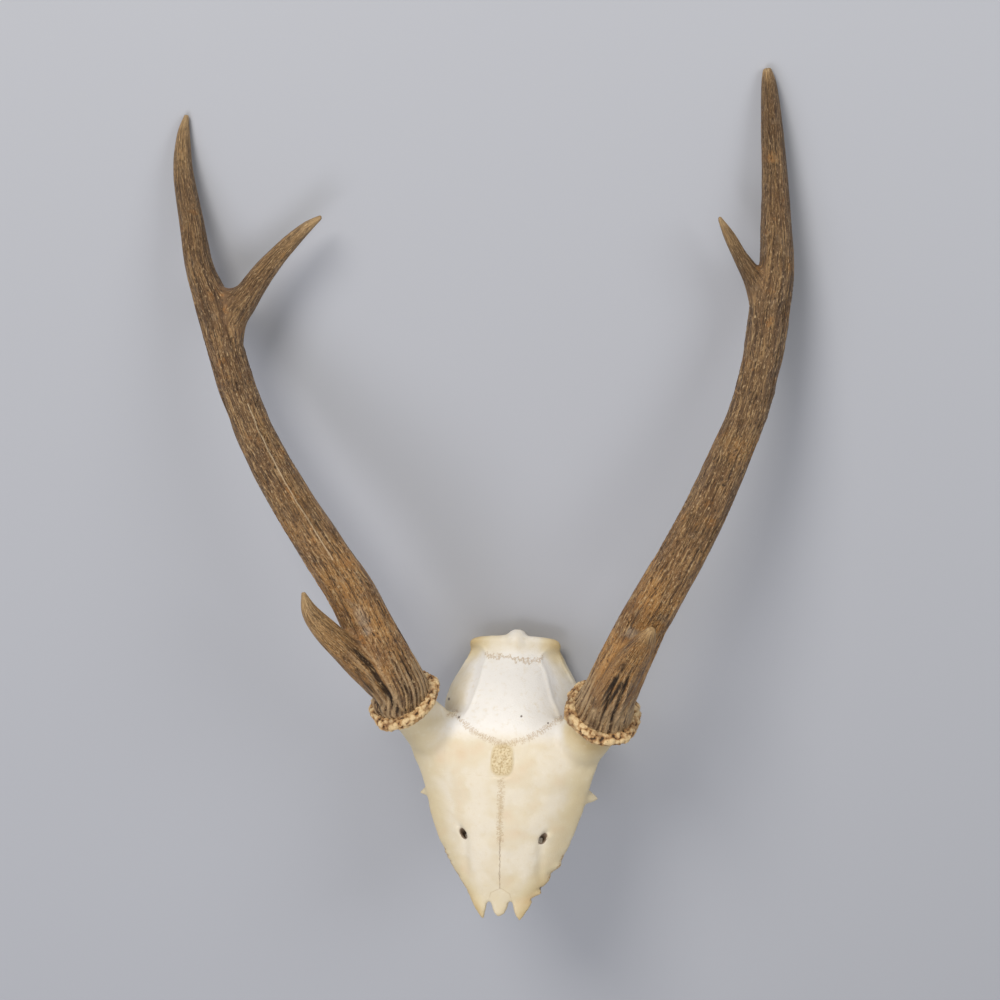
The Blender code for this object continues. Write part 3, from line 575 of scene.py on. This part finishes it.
for name, reach, stitch, width, spread in (
    ("coronal", 8.5, 1.5, 0.5, 3.0),
    ("lambdoid", 6.5, 2.6, 0.5, 3.4),
    ("midline", 9.0, 1.3, 0.55, 3.2),
):
    seam = add(tree, "ShaderNodeAttribute", {}, "Vector", attribute_name=name)
    drawn = stitches(tree, seam, reach, stitch, width, spread)
    if name == "midline":
        fading = add(tree, "ShaderNodeMapRange", {"Value": along_y, "From Min": -67.0, "From Max": -60.0})
        drawn = add(tree, "ShaderNodeMath", {0: drawn, 1: fading}, operation="MULTIPLY")
    seams = add(tree, "ShaderNodeMath", {0: drawn, 1: seams}, operation="MAXIMUM")
seam = add(tree, "ShaderNodeAttribute", {}, "Vector", attribute_name="midline")
crack = stitches(tree, seam, 2.4, 8.0, 0.26, 1.8)
for low, high in ((-56.0, -62.0), (-92.6, -91.4)):
    fading = add(tree, "ShaderNodeMapRange", {"Value": along_y, "From Min": low, "From Max": high})
    crack = add(tree, "ShaderNodeMath", {0: crack, 1: fading}, operation="MULTIPLY")
seam = add(tree, "ShaderNodeAttribute", {}, "Vector", attribute_name="nasal")
nasal = stitches(tree, seam, 0.8, 2.5, 0.45, 1.6)
flat_place = add(tree, "ShaderNodeMapping", {"Vector": place, "Scale": (1.0, 1.0, 0.0)})
colour = stained(tree, colour, (
    (hollows, 0.45, 0.68, 0.65, "a98955"),
    (seams, 0.0, 1.0, 0.6, "b5935f"),
    (nasal, 0.0, 1.0, 0.25, "ab8a5c"),
    (crack, 0.0, 1.0, 0.6, "866848"),
    (broken, 0.35, 0.6, 0.75, "966a38"),
    # painted shade: dark brown inside the two holes, deepest down the bores
    (bore, 0.0, 1.0, 0.85, "5a3a1e"),
))
# The pinholes are not cut into the bone: each is a dark dot of painted shade where its opening lies
for hole_x, hole_y, width in VESSEL_HOLES:
    ends = {0: flat_place, 1: (hole_x, hole_y, 0.0)}
    far = add(tree, "ShaderNodeVectorMath", ends, "Value", operation="DISTANCE")
    colour = stained(tree, colour, ((far, 1.5 * width, 0.5 * width, 0.9, "4a3520"),))
tree.links.new(colour, shader.inputs["Base Color"])
grit = add(tree, "ShaderNodeTexNoise", {"Vector": place, "Scale": 1.0, "Detail": 4.0, "Roughness": 0.65})
height = add(tree, "ShaderNodeMath", {0: seams, 1: -0.35, 2: grit}, operation="MULTIPLY_ADD")
height = add(tree, "ShaderNodeMath", {0: lump_pores, 1: 1.5, 2: height}, operation="MULTIPLY_ADD")
bump = add(tree, "ShaderNodeBump", {"Height": height, "Strength": 0.35, "Distance": 0.0005})
tree.links.new(bump, shader.inputs["Normal"])
bone.data.materials.append(bleached_bone)
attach(bone, "root")
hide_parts("frontal_left", "frontal_right", "parietal_left", "parietal_right")
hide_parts("occipital", "nasal_stub_left", "nasal_stub_right")

# The coronets are the knobbly rings where each antler met the skin, grown from the same bone as the
# antler. Pearls of bone crowd their roll, rubbed golden on top and dark with old skin in between; as
# the colour follows each pearl's height, the pale tops are partly painted highlight and the dark gaps
# partly painted shade.
RING_RADIUS, RING_ROLL = 19.6, 3.3  # mm, from the antler's middle to the roll's, and of the roll itself
POINTS_ROUND, POINTS_OVER = 620, 90
PEARLS_ROUND, PEARL_ROWS = 50, 9
ROWS_HALF = 2.7  # radians either way over the roll, so that its inner side stays bare


def coronet(side, seed):
    """A torus R + r cos v, r sin v, raised by pearls h sqrt(1 - (d/b)^2), of which the highest counts."""
    draw = np.random.default_rng(seed)
    u = np.linspace(0, 2 * np.pi, POINTS_ROUND, endpoint=False)[:, None]
    v = np.linspace(0, 2 * np.pi, POINTS_OVER, endpoint=False)[None, :]
    u, v = np.broadcast_arrays(u, v)
    row, spot = np.divmod(np.arange(PEARLS_ROUND * PEARL_ROWS), PEARLS_ROUND)
    pearl_u = (spot + 0.5 * (row % 2) + draw.uniform(-0.35, 0.35, spot.shape)) * 2 * np.pi / PEARLS_ROUND
    row_v = row + 0.5 + draw.uniform(-0.35, 0.35, row.shape)
    pearl_v = -ROWS_HALF + row_v * 2 * ROWS_HALF / PEARL_ROWS
    pearl_size = draw.uniform(0.9, 2.8, spot.shape)
    stretch = draw.uniform(0.7, 1.3, spot.shape)
    height = np.zeros(u.shape)
    bent_u = u + 0.022 * lattice_noise(u / (2 * np.pi) * 90, v / (2 * np.pi) * 14, 90, seed + 2)
    bent_v = v + 0.16 * lattice_noise(u / (2 * np.pi) * 80, v / (2 * np.pi) * 12, 80, seed + 3)
    for at_u, at_v, size, long in zip(pearl_u, pearl_v, pearl_size, stretch):
        du = (bent_u - at_u + np.pi) % (2 * np.pi) - np.pi
        dv = (bent_v - at_v + np.pi) % (2 * np.pi) - np.pi
        far = np.sqrt((du * RING_RADIUS * 1.1 * long) ** 2 + (dv * RING_ROLL * 1.2 / long) ** 2) / size
        height = np.maximum(height, (0.3 + 0.5 * size) * np.sqrt(np.clip(1 - far**2, 0, 1)))
    swell = lattice_noise(u / (2 * np.pi) * 13, v * 0 + 5, 13, seed)
    grit = lattice_noise(u / (2 * np.pi) * 160, v / (2 * np.pi) * 30, 160, seed + 1)
    roll = RING_ROLL * (0.84 + 0.12 * swell) + height + 0.26 * grit
    radius = RING_RADIUS - 0.5 + 0.8 * swell + roll * np.cos(v)
    centre, facing = (np.array(part, float) for part in SEATS[side])
    facing /= np.linalg.norm(facing)
    across = np.cross(facing, (0.0, 0.0, 1.0))
    across /= np.linalg.norm(across)
    out = np.cos(u)[..., None] * across + np.sin(u)[..., None] * np.cross(facing, across)
    grid = centre + radius[..., None] * out + (0.95 * roll * np.sin(v))[..., None] * facing
    index = np.arange(u.size).reshape(u.shape)
    right = np.roll(index, -1, axis=0)
    faces = np.stack([index, right, np.roll(right, -1, axis=1), np.roll(index, -1, axis=1)], axis=-1)
    piece = add_mesh(f"coronet_ring_{side}", laid_down(grid.reshape(-1, 3)), faces.reshape(-1, 4).tolist())
    piece.data.shade_smooth()
    store(piece, "place", grid.reshape(-1, 3))
    store(piece, "pearl", np.clip((height + 0.1 * grit) / 1.5, 0, 1).ravel())
    return piece


# Dry burr bone: golden tan on the rubbed pearls, partly painted highlight, and dark brown in the gaps,
# partly old skin and partly painted shade; quite matt and gritty.
beaded_burr, tree, shader = new_finish("beaded_burr_bone", 0.62, 1.5)
place = add(tree, "ShaderNodeAttribute", {}, "Vector", attribute_name="place")
pearl = add(tree, "ShaderNodeAttribute", {}, "Fac", attribute_name="pearl")
grit = add(tree, "ShaderNodeTexNoise", {"Vector": place, "Scale": 0.7, "Detail": 4.0, "Roughness": 0.65})
patches = add(tree, "ShaderNodeTexNoise", {"Vector": place, "Scale": 0.11, "Detail": 2.0})
pearl = add(tree, "ShaderNodeMath", {0: grit, 1: 0.7, 2: pearl}, operation="MULTIPLY_ADD")
colour = stained(tree, linear("3a2a18"), (
    (pearl, 0.4, 0.8, 1.0, "89623a"),
    (pearl, 0.72, 1.1, 0.9, "be9766"),
    (pearl, 1.02, 1.38, 0.85, "e6cb9b"),
    (patches, 0.5, 0.72, 0.55, "7d6145"),
    (grit, 0.42, 0.28, 0.65, "4a3520"),
))
tree.links.new(colour, shader.inputs["Base Color"])
bump = add(tree, "ShaderNodeBump", {"Height": grit, "Strength": 0.6, "Distance": 0.0006})
tree.links.new(bump, shader.inputs["Normal"])
for side, seed in (("left", 3), ("right", 8)):
    ring = coronet(side, seed)
    ring.data.materials.append(beaded_burr)
    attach(ring, "root")
    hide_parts(f"coronet_{side}")

# Each antler is one growth of solid bone on its coronet: a grooved beam with a brow tine, an inner
# tine and a top tine. The grooves held the blood vessels of the velvet, and the tips are rubbed
# smooth and pale.
BEAMS = {
    "left": (
        (-61.5, 33, 82, 15.5), (-69.5, 50, 94, 15.0), (-80, 70.5, 102, 14.5), (-88.5, 86.5, 107, 13.9),
        (-107, 113, 114, 12.7), (-125, 140, 120, 11.8), (-141, 167, 126, 11.0), (-153, 194, 132, 10.4),
        (-162, 221, 138, 10.4), (-169.5, 247, 145, 10.2), (-177, 267, 151, 8.0), (-181.5, 293, 158, 6.8),
        (-185.5, 319, 166, 5.6), (-185, 338, 172, 3.9), (-182.5, 350, 177, 1.4),
    ),
    "right": (
        (65, 34, 84, 15.2), (73, 52.5, 96, 14.8), (82.5, 74.5, 105, 13.8), (90, 89, 110, 13.5),
        (104, 117, 117, 12.7), (117, 145, 124, 11.9), (128, 173, 130, 11.2), (138, 200, 137, 10.8),
        (144, 227, 144, 10.7), (147, 253, 151, 11.2), (150, 279, 158, 9.6), (148.5, 305, 167, 8.2),
        (146.5, 330, 178, 6.9), (144, 354, 188, 5.8), (141.5, 374, 195, 4.2), (140, 382.5, 198, 2.2),
    ),
}  # x, y, z, radius along the middle of each branch; the beam ends in the top tine
BROWS = {
    "left": (
        (-63, 24, 78, 9.5), (-74, 37, 97, 9.5), (-88, 52, 112, 8.4),
        (-99, 64, 125, 7.0), (-106, 74, 134, 4.9), (-109, 85, 142, 1.3),
    ),
    "right": (
        (60, 24, 82, 10.0), (68, 37, 98, 10.6), (78, 54, 115, 9.4),
        (86, 67, 128, 6.6), (90.5, 75.5, 136, 2.4),
    ),
}
TINES = {
    "left": (
        (-165, 227, 140, 7.0), (-155.5, 243.5, 145.5, 8.4), (-143.5, 260.5, 151, 6.9),
        (-133.5, 272, 156, 5.6), (-123.5, 282, 161, 4.6), (-113, 291, 166, 3.2), (-104.3, 296.7, 170, 1.3),
    ),
    "right": (
        (145.5, 255, 153, 9.4), (139.8, 270, 159, 6.8), (130.5, 283.5, 168, 4.2),
        (124, 294, 175, 3.2), (118, 303.5, 182, 1.2),
    ),
}  # the inner tines
WEBS = {
    "left": (
        ((-172, 247, 147, 7.0), (-161, 250, 149, 6.2), (-152.5, 252, 150, 4.8)),
        ((-162, 216, 137, 8.2), (-158.5, 231, 142, 7.6), (-152.5, 245, 147, 5.0)),
    ),
    "right": (),
}  # bone that fills a fork out
FORKS = {
    "left": ((-85, 61, 110, 10), (-159, 258, 150, 11), (-158, 244, 146, 10), (-152, 232, 142, 10)),
    "right": ((80, 62, 112, 9), (147, 272, 157, 10), (143, 256, 154, 10)),
}  # where the bone is rounded between branches: x, y, z, reach
FOOT = ((-3.5, 15.0), (0.0, 17.8), (4.0, 17.4))  # height over the seat, radius: the foot flares to the burr
VESSEL_LINE = ((70, 22), (90, 15), (117, 18), (150, 20), (180, 23), (216, 25))  # along, degrees round
VESSEL_ENDS = (108, 212)  # where along the left beam the thin ridge of a blood vessel runs, drawn pale with a painted highlight
FURROWS = {
    "left": (
        (1.8, ((-58, 13), (-63.5, 24.1), (-68.2, 33.7), (-72.8, 42.7), (-81.5, 52.4), (-88.3, 60.5))),
        (1.6, ((-69.8, 11.5), (-72.7, 20.2), (-76.8, 28.0), (-82.2, 36.3))),
    ),
    "right": (
        (1.0, ((66.2, 16.5), (72.9, 33.9), (78.7, 48.9), (82.8, 59.4))),
        (0.9, ((61.4, 17.5), (66.5, 34.8), (71.7, 48.4))),
        (0.9, ((70.5, 17.5), (76.4, 31.8), (81.5, 44.5))),
    ),
}  # half width of each deep furrow of the foot, and its line seen from above
SCUFFS = {
    "left": (
        (-80.6, 74.6, 116, 5.5), (-79.3, 72.0, 115.5, 5.5), (-78.1, 69.5, 115, 5.5), (-76, 64.5, 113, 5.0),
    ),
    "right": ((77.6, 71.8, 117, 5.0), (80.7, 70.3, 119, 5.0)),
}  # where the bone is rubbed bare and grey: x, y, z, reach
PALE_ENDS = {"left": (1.2, 0.85, 0.75), "right": (6.0, 4.0, 1.6)}  # how much shorter each tip's pale end is
GRAIN_ROUND = 15.0  # radius at which the grain's pattern is laid round a branch
RING_STEP, SKIN_STEP = 0.9, 0.71  # spacing of the limbs' rings, and of the finished skin's points
GRAINS = (
    ("streaks", 0.42, 0.08, 5.0), ("threads", 1.0, 0.11, 3.0), ("specks", 0.8, 0.5, 3.0),
)  # scale across the grain, how far drawn out along it, detail


def beside(points, path):
    """Each point's place along a path, the angle round it, its distance from it and the radius there."""
    q = path["at"]
    nearest = []
    for part in np.array_split(points, 16):
        squared = (part**2).sum(1)[:, None] - 2 * part @ q.T + (q**2).sum(1)
        nearest.append(squared.argmin(1))
    nearest = np.concatenate(nearest)
    away = points - q[nearest]
    s = path["along"][nearest] + (away * path["ahead"][nearest]).sum(1)
    u, v = (away * path["side"][nearest]).sum(1), (away * path["front"][nearest]).sum(1)
    return s, np.arctan2(u, v), np.hypot(u, v), path["radius"][nearest]


def grooves(s, angle, seed):
    """Long ridges and furrows: noises drawn out along the branch, the finer ones shorter and crested."""
    turn = angle / (2 * np.pi) + 0.0005 * s
    wide = lattice_noise(turn * 11, s / 90 + 7, 11, seed)
    middle = 1 - 2.2 * np.abs(lattice_noise(turn * 22, s / 34 + 3, 22, seed + 1))
    narrow = 1 - 2.2 * np.abs(lattice_noise(turn * 42, s / 13 + 11, 42, seed + 2))
    return 0.3 * wide + 0.4 * middle + 0.4 * narrow


def fan(s, angle, seed):
    """The rounded ridges that spread over the foot to the burr: |sin| of the angle, 32 round it.

    A slow noise shifts them, and another makes the grooves between them deep here and shallow there.
    """
    turn = angle / (2 * np.pi)
    shifted = 32 * turn + 0.9 * lattice_noise(turn * 12, s / 70 + 5, 12, seed)
    deep = 0.62 + 0.5 * lattice_noise(turn * 16, s / 45 + 9, 16, seed + 4)
    fine = lattice_noise(turn * 70, s / 30 + 3, 70, seed + 5)
    ridges = 0.55 - 1.7 * deep * (1 - np.sqrt(np.abs(np.sin(np.pi * shifted)))) + 0.25 * fine
    return ridges * step(3.5, 7, s)


def antler(side, seed):
    """Beam, brow tine and inner tine in one skin, raised along its normals by their ridges.

    The branches are blended: each one's share is exp(-(distance - radius) / 2.5), over the sum.
    """
    centre, facing = (np.array(part, float) for part in SEATS[side])
    facing /= np.linalg.norm(facing)
    foot = [(*(centre + facing * height), radius) for height, radius in FOOT]
    stems = (((*foot, *BEAMS[side]), 120), (BROWS[side], 80), (TINES[side], 80))
    branches = [limb(stations, RING_STEP, around) for stations, around in stems]
    grids = [rings for rings, _ in branches]
    grids += [limb(web, RING_STEP)[0] for web in WEBS[side]]
    piece = add_mesh(f"antler_{side}", *skins(grids))
    even_skin(piece, SKIN_STEP)
    points, edges = points_of(piece), edges_of(piece)
    fork = near(points, FORKS[side])
    points = relaxed(points, edges, np.full(len(points), 0.4), 4)
    points = relaxed(points, edges, 0.9 * fork, 60)
    put_points(piece, points)
    normals = normals_of(piece)
    found = [beside(points, path) for _, path in branches]
    share = np.stack([np.exp(-np.clip(far - radius, -4, 30) / 2.5) for _, _, far, radius in found])
    share[1:] *= np.stack([step(6, 30, s) for s, _, _, _ in found[1:]])
    share /= share.sum(0)
    base = found[0][0]
    own = np.where(share[1] > share[2], 1, 2)
    tip = np.where(share[0] > 0.5, (branches[0][1]["along"][-1] - base) * PALE_ENDS[side][0], 99.0)
    relief, lift = np.zeros(len(points)), np.zeros(len(points))
    branch_grain = np.zeros((len(points), 3))
    for number, ((s, angle, _, _), (_, path)) in enumerate(zip(found, branches)):
        left = path["along"][-1] - s
        depth = (0.3 + 0.5 * step(30, 150, left)) * step(1, 45, left)
        shape = grooves(s, angle, seed + 10 * number)
        if number == 0:
            shape_foot = fan(s, angle, seed + 50)
            at_foot = step(62, 22, s)
            shape = shape * (1 - 0.6 * at_foot) + shape_foot * at_foot
            depth = depth + 0.25 * at_foot
        relief += share[number] * shape
        lift += share[number] * shape * depth
        if number:
            mine = own == number
            turn = (GRAIN_ROUND * np.cos(angle), GRAIN_ROUND * np.sin(angle), s + 500 * number)
            branch_grain[mine] = np.column_stack(turn)[mine]
            tip = np.where(mine & (share[0] < 0.5), left * PALE_ENDS[side][number], tip)
    angle = found[0][1]
    vessel = np.full(len(points), 9.0)
    if side == "left":
        wanted = np.radians(smooth_table(VESSEL_LINE, np.clip(base, 70, 216))[:, 0])
        wanted += 0.025 * lattice_noise(base / 7, base * 0, 64, 4)
        on_line = (share[0] > 0.5) & (base > VESSEL_ENDS[0]) & (base < VESSEL_ENDS[1])
        vessel = np.where(on_line, (angle - wanted) * found[0][3], 9.0)
        lift += 0.45 * np.exp(-((vessel / 0.7) ** 2)) - 0.5 * np.exp(-(((vessel - 1.6) / 0.9) ** 2))
    furrow = np.zeros(len(points))
    for width, line in FURROWS[side]:
        along, off = seam_place(points, line)
        off = np.abs(off) / width
        ends = step(0, 4, along) * step(along.max(), along.max() - 18, along) * step(0.1, 0.5, normals[:, 2])
        furrow += (np.exp(-(off**2)) - 0.8 * np.exp(-(((off - 1.9) / 0.7) ** 2))) * ends
    lift -= 1.2 * furrow
    put_points(piece, laid_down(points + normals * lift[:, None]))
    piece.data.shade_smooth()
    turn = (GRAIN_ROUND * np.cos(angle), GRAIN_ROUND * np.sin(angle), base)
    store(piece, "beam_grain", np.column_stack(turn))
    store(piece, "branch_grain", branch_grain)
    store(piece, "on_branch", 1 - share[0])
    store(piece, "place", points)
    store(piece, "relief", np.clip(relief, -1, 1))
    store(piece, "tip", tip)
    store(piece, "base", base)
    store(piece, "vessel", vessel)
    store(piece, "furrow", furrow)
    store(piece, "scuff", near(points, SCUFFS[side]))
    return piece


# Hard antler bone stained brown by bark and weather: golden brown on the lower beam, greyer at the
# foot and towards the top, dark in the furrows, rubbed pale on crests and tips, with a dull sheen.
# The finest real threads are 0.2 mm wide; they are drawn coarser, about 1 mm, so that they show.
weathered_antler, tree, shader = new_finish("weathered_antler", 0.48, 1.52)
place = add(tree, "ShaderNodeAttribute", {}, "Vector", attribute_name="place")
on_branch, base, tip, relief, vessel, furrow, scuff = (
    add(tree, "ShaderNodeAttribute", {}, "Fac", attribute_name=name)
    for name in ("on_branch", "base", "tip", "relief", "vessel", "furrow", "scuff")
)
vessel = add(tree, "ShaderNodeMath", {0: vessel}, operation="ABSOLUTE")
grains = {}
for use, scale, drawn_out, detail in GRAINS:
    pair = []
    for name in ("beam_grain", "branch_grain"):
        grain = add(tree, "ShaderNodeAttribute", {}, "Vector", attribute_name=name)
        grain = add(tree, "ShaderNodeMapping", {"Vector": grain, "Scale": (1.0, 1.0, drawn_out)})
        settings = {"Vector": grain, "Scale": scale, "Detail": detail, "Roughness": 0.62}
        pair.append(add(tree, "ShaderNodeTexNoise", settings))
    grains[use] = add(tree, "ShaderNodeMix", {0: on_branch, 2: pair[0], 3: pair[1]}, data_type="FLOAT")
patches = add(tree, "ShaderNodeTexNoise", {"Vector": place, "Scale": 0.03, "Detail": 4.0})
blotches = add(tree, "ShaderNodeTexNoise", {"Vector": place, "Scale": 0.12, "Detail": 3.0, "Roughness": 0.6})
lower_beam = {"Value": base, "From Min": 75.0, "From Max": 20.0}
foot = add(tree, "ShaderNodeMapRange", lower_beam, interpolation_type="SMOOTHSTEP")
foot_crests = add(tree, "ShaderNodeMath", {0: relief, 1: foot}, operation="MULTIPLY")
colour = stained(tree, linear("8b683f"), (
    (base, 160.0, 80.0, 0.8, "c28d4e"),
    (base, 130.0, 260.0, 0.6, "7b6044"),
    (patches, 0.45, 0.62, 0.7, "7a5734"),
    (patches, 0.44, 0.3, 0.5, "b98646"),
    (blotches, 0.55, 0.72, 0.55, "9c8468"),
    (blotches, 0.42, 0.28, 0.6, "b47834"),
    (base, 50.0, 16.0, 0.8, "5c4734"),
    (tip, 48.0, 16.0, 0.5, "a08254"),
    (tip, 14.0, 3.0, 0.55, "bfa274"),
    (grains["streaks"], 0.52, 0.64, 0.6, "c29a66"),
    (grains["streaks"], 0.48, 0.36, 0.75, "523a22"),
    (relief, 0.0, -0.8, 0.6, "40290f"),
    (furrow, -0.15, -0.65, 0.6, "c8a67b"),
    (furrow, 0.2, 0.7, 0.9, "291b0f"),
    (scuff, 0.4, 0.95, 0.5, "aea393"),
    (grains["threads"], 0.53, 0.66, 0.6, "d3af7c"),
    (grains["threads"], 0.47, 0.36, 0.75, "422b16"),
    (grains["specks"], 0.45, 0.33, 0.85, "33210f"),
    (grains["specks"], 0.56, 0.68, 0.7, "e0c092"),
    (foot_crests, 0.25, 0.6, 0.6, "cdae84"),
    (foot_crests, 0.08, -0.35, 0.9, "24180c"),
    # painted highlight: a pale line along the blood vessel's thin ridge
    (vessel, 0.5, 0.2, 0.75, "dcc29c"),
))
tree.links.new(colour, shader.inputs["Base Color"])
height = grains["streaks"]
for use, part in (("threads", 0.8), ("specks", 1.3)):
    height = add(tree, "ShaderNodeMath", {0: grains[use], 1: part, 2: height}, operation="MULTIPLY_ADD")
rubbed = {"Value": tip, "From Min": 4.0, "From Max": 50.0, "To Min": 0.3, "To Max": 1.0}
smooth_tip = add(tree, "ShaderNodeMapRange", rubbed)
bump = add(tree, "ShaderNodeBump", {"Height": height, "Strength": smooth_tip, "Distance": 0.0016})
tree.links.new(bump, shader.inputs["Normal"])
for side, seed in (("left", 21), ("right", 57)):
    grown = antler(side, seed)
    grown.data.materials.append(weathered_antler)
    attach(grown, "root")
    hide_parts(f"beam_{side}", f"brow_tine_{side}", f"inner_tine_{side}", f"top_tine_{side}")

# The floor is a plain pale studio sheet of matt paper, laid out flat at the height where the cap's
# sawn edge and the antlers' tips rest on it.
FLOOR_HALF = 8.0  # metres, so that its edges are never in view
floor_mesh = bpy.data.meshes.new("studio_floor")
corners = [(u * FLOOR_HALF, v * FLOOR_HALF, 0.0) for u, v in ((-1, -1), (1, -1), (1, 1), (-1, 1))]
floor_mesh.from_pydata(corners, [], [(0, 1, 2, 3)])
floor = bpy.data.objects.new("studio_floor", floor_mesh)
bpy.context.scene.collection.objects.link(floor)
matt_paper, tree, shader = new_finish("matt_pale_paper", 0.85, 1.45)
shader.inputs["Base Color"].default_value = linear("b9bcc4")
floor_mesh.materials.append(matt_paper)

# The camera stands where the photographer's did: 1.5 m from the forehead and seven degrees to its
# right, with a 90 mm lens, its top leaning three degrees. The lights are broad and soft.
CAMERA_AT = (173.54, 143.71, 1544.96)
CAMERA_SWING, CAMERA_LEAN = np.radians(7), np.radians(3)
back = np.array([np.sin(CAMERA_SWING), 0.0, np.cos(CAMERA_SWING)])
level_up = np.array([0.0, 1.0, 0.0])
view_up = level_up * np.cos(CAMERA_LEAN) - np.cross(level_up, back) * np.sin(CAMERA_LEAN)
axes = REST_TURN @ np.column_stack([np.cross(view_up, back), view_up, back])
eye = laid_down(np.array([CAMERA_AT]))[0]
camera_data = bpy.data.cameras.new("camera")
camera_data.sensor_width, camera_data.lens = 36.0, 90.0
camera = bpy.data.objects.new("camera", camera_data)
bpy.context.scene.collection.objects.link(camera)
camera.matrix_world = Matrix([[*axes[row], eye[row]] for row in range(3)] + [[0, 0, 0, 1]])
bpy.context.scene.camera = camera


def soft_light(name, at, size, power, tint):
    data = bpy.data.lights.new(name, "AREA")
    data.shape, data.size, data.energy, data.color = "DISK", size, power, linear(tint)[:3]
    lamp = bpy.data.objects.new(name, data)
    bpy.context.scene.collection.objects.link(lamp)
    lamp.location = at
    lamp.rotation_euler = (Vector((0, -0.02, 0.05)) - lamp.location).to_track_quat("-Z", "Y").to_euler()


soft_light("key_light", (-0.55, 1.7, 1.25), 0.9, 29, "fffaf2")
soft_light("fill_light", (-0.6, -0.7, 1.5), 1.2, 9, "fbfaff")
soft_light("side_light", (1.3, 1.0, 1.1), 0.9, 9, "ffffff")
world = bpy.data.worlds.new("studio")
bpy.context.scene.world = world
world.use_nodes = True
world.node_tree.nodes["Background"].inputs["Color"].default_value = linear("f1f0ee")
world.node_tree.nodes["Background"].inputs["Strength"].default_value = 0.34
bpy.context.scene.view_settings.view_transform = "Standard"
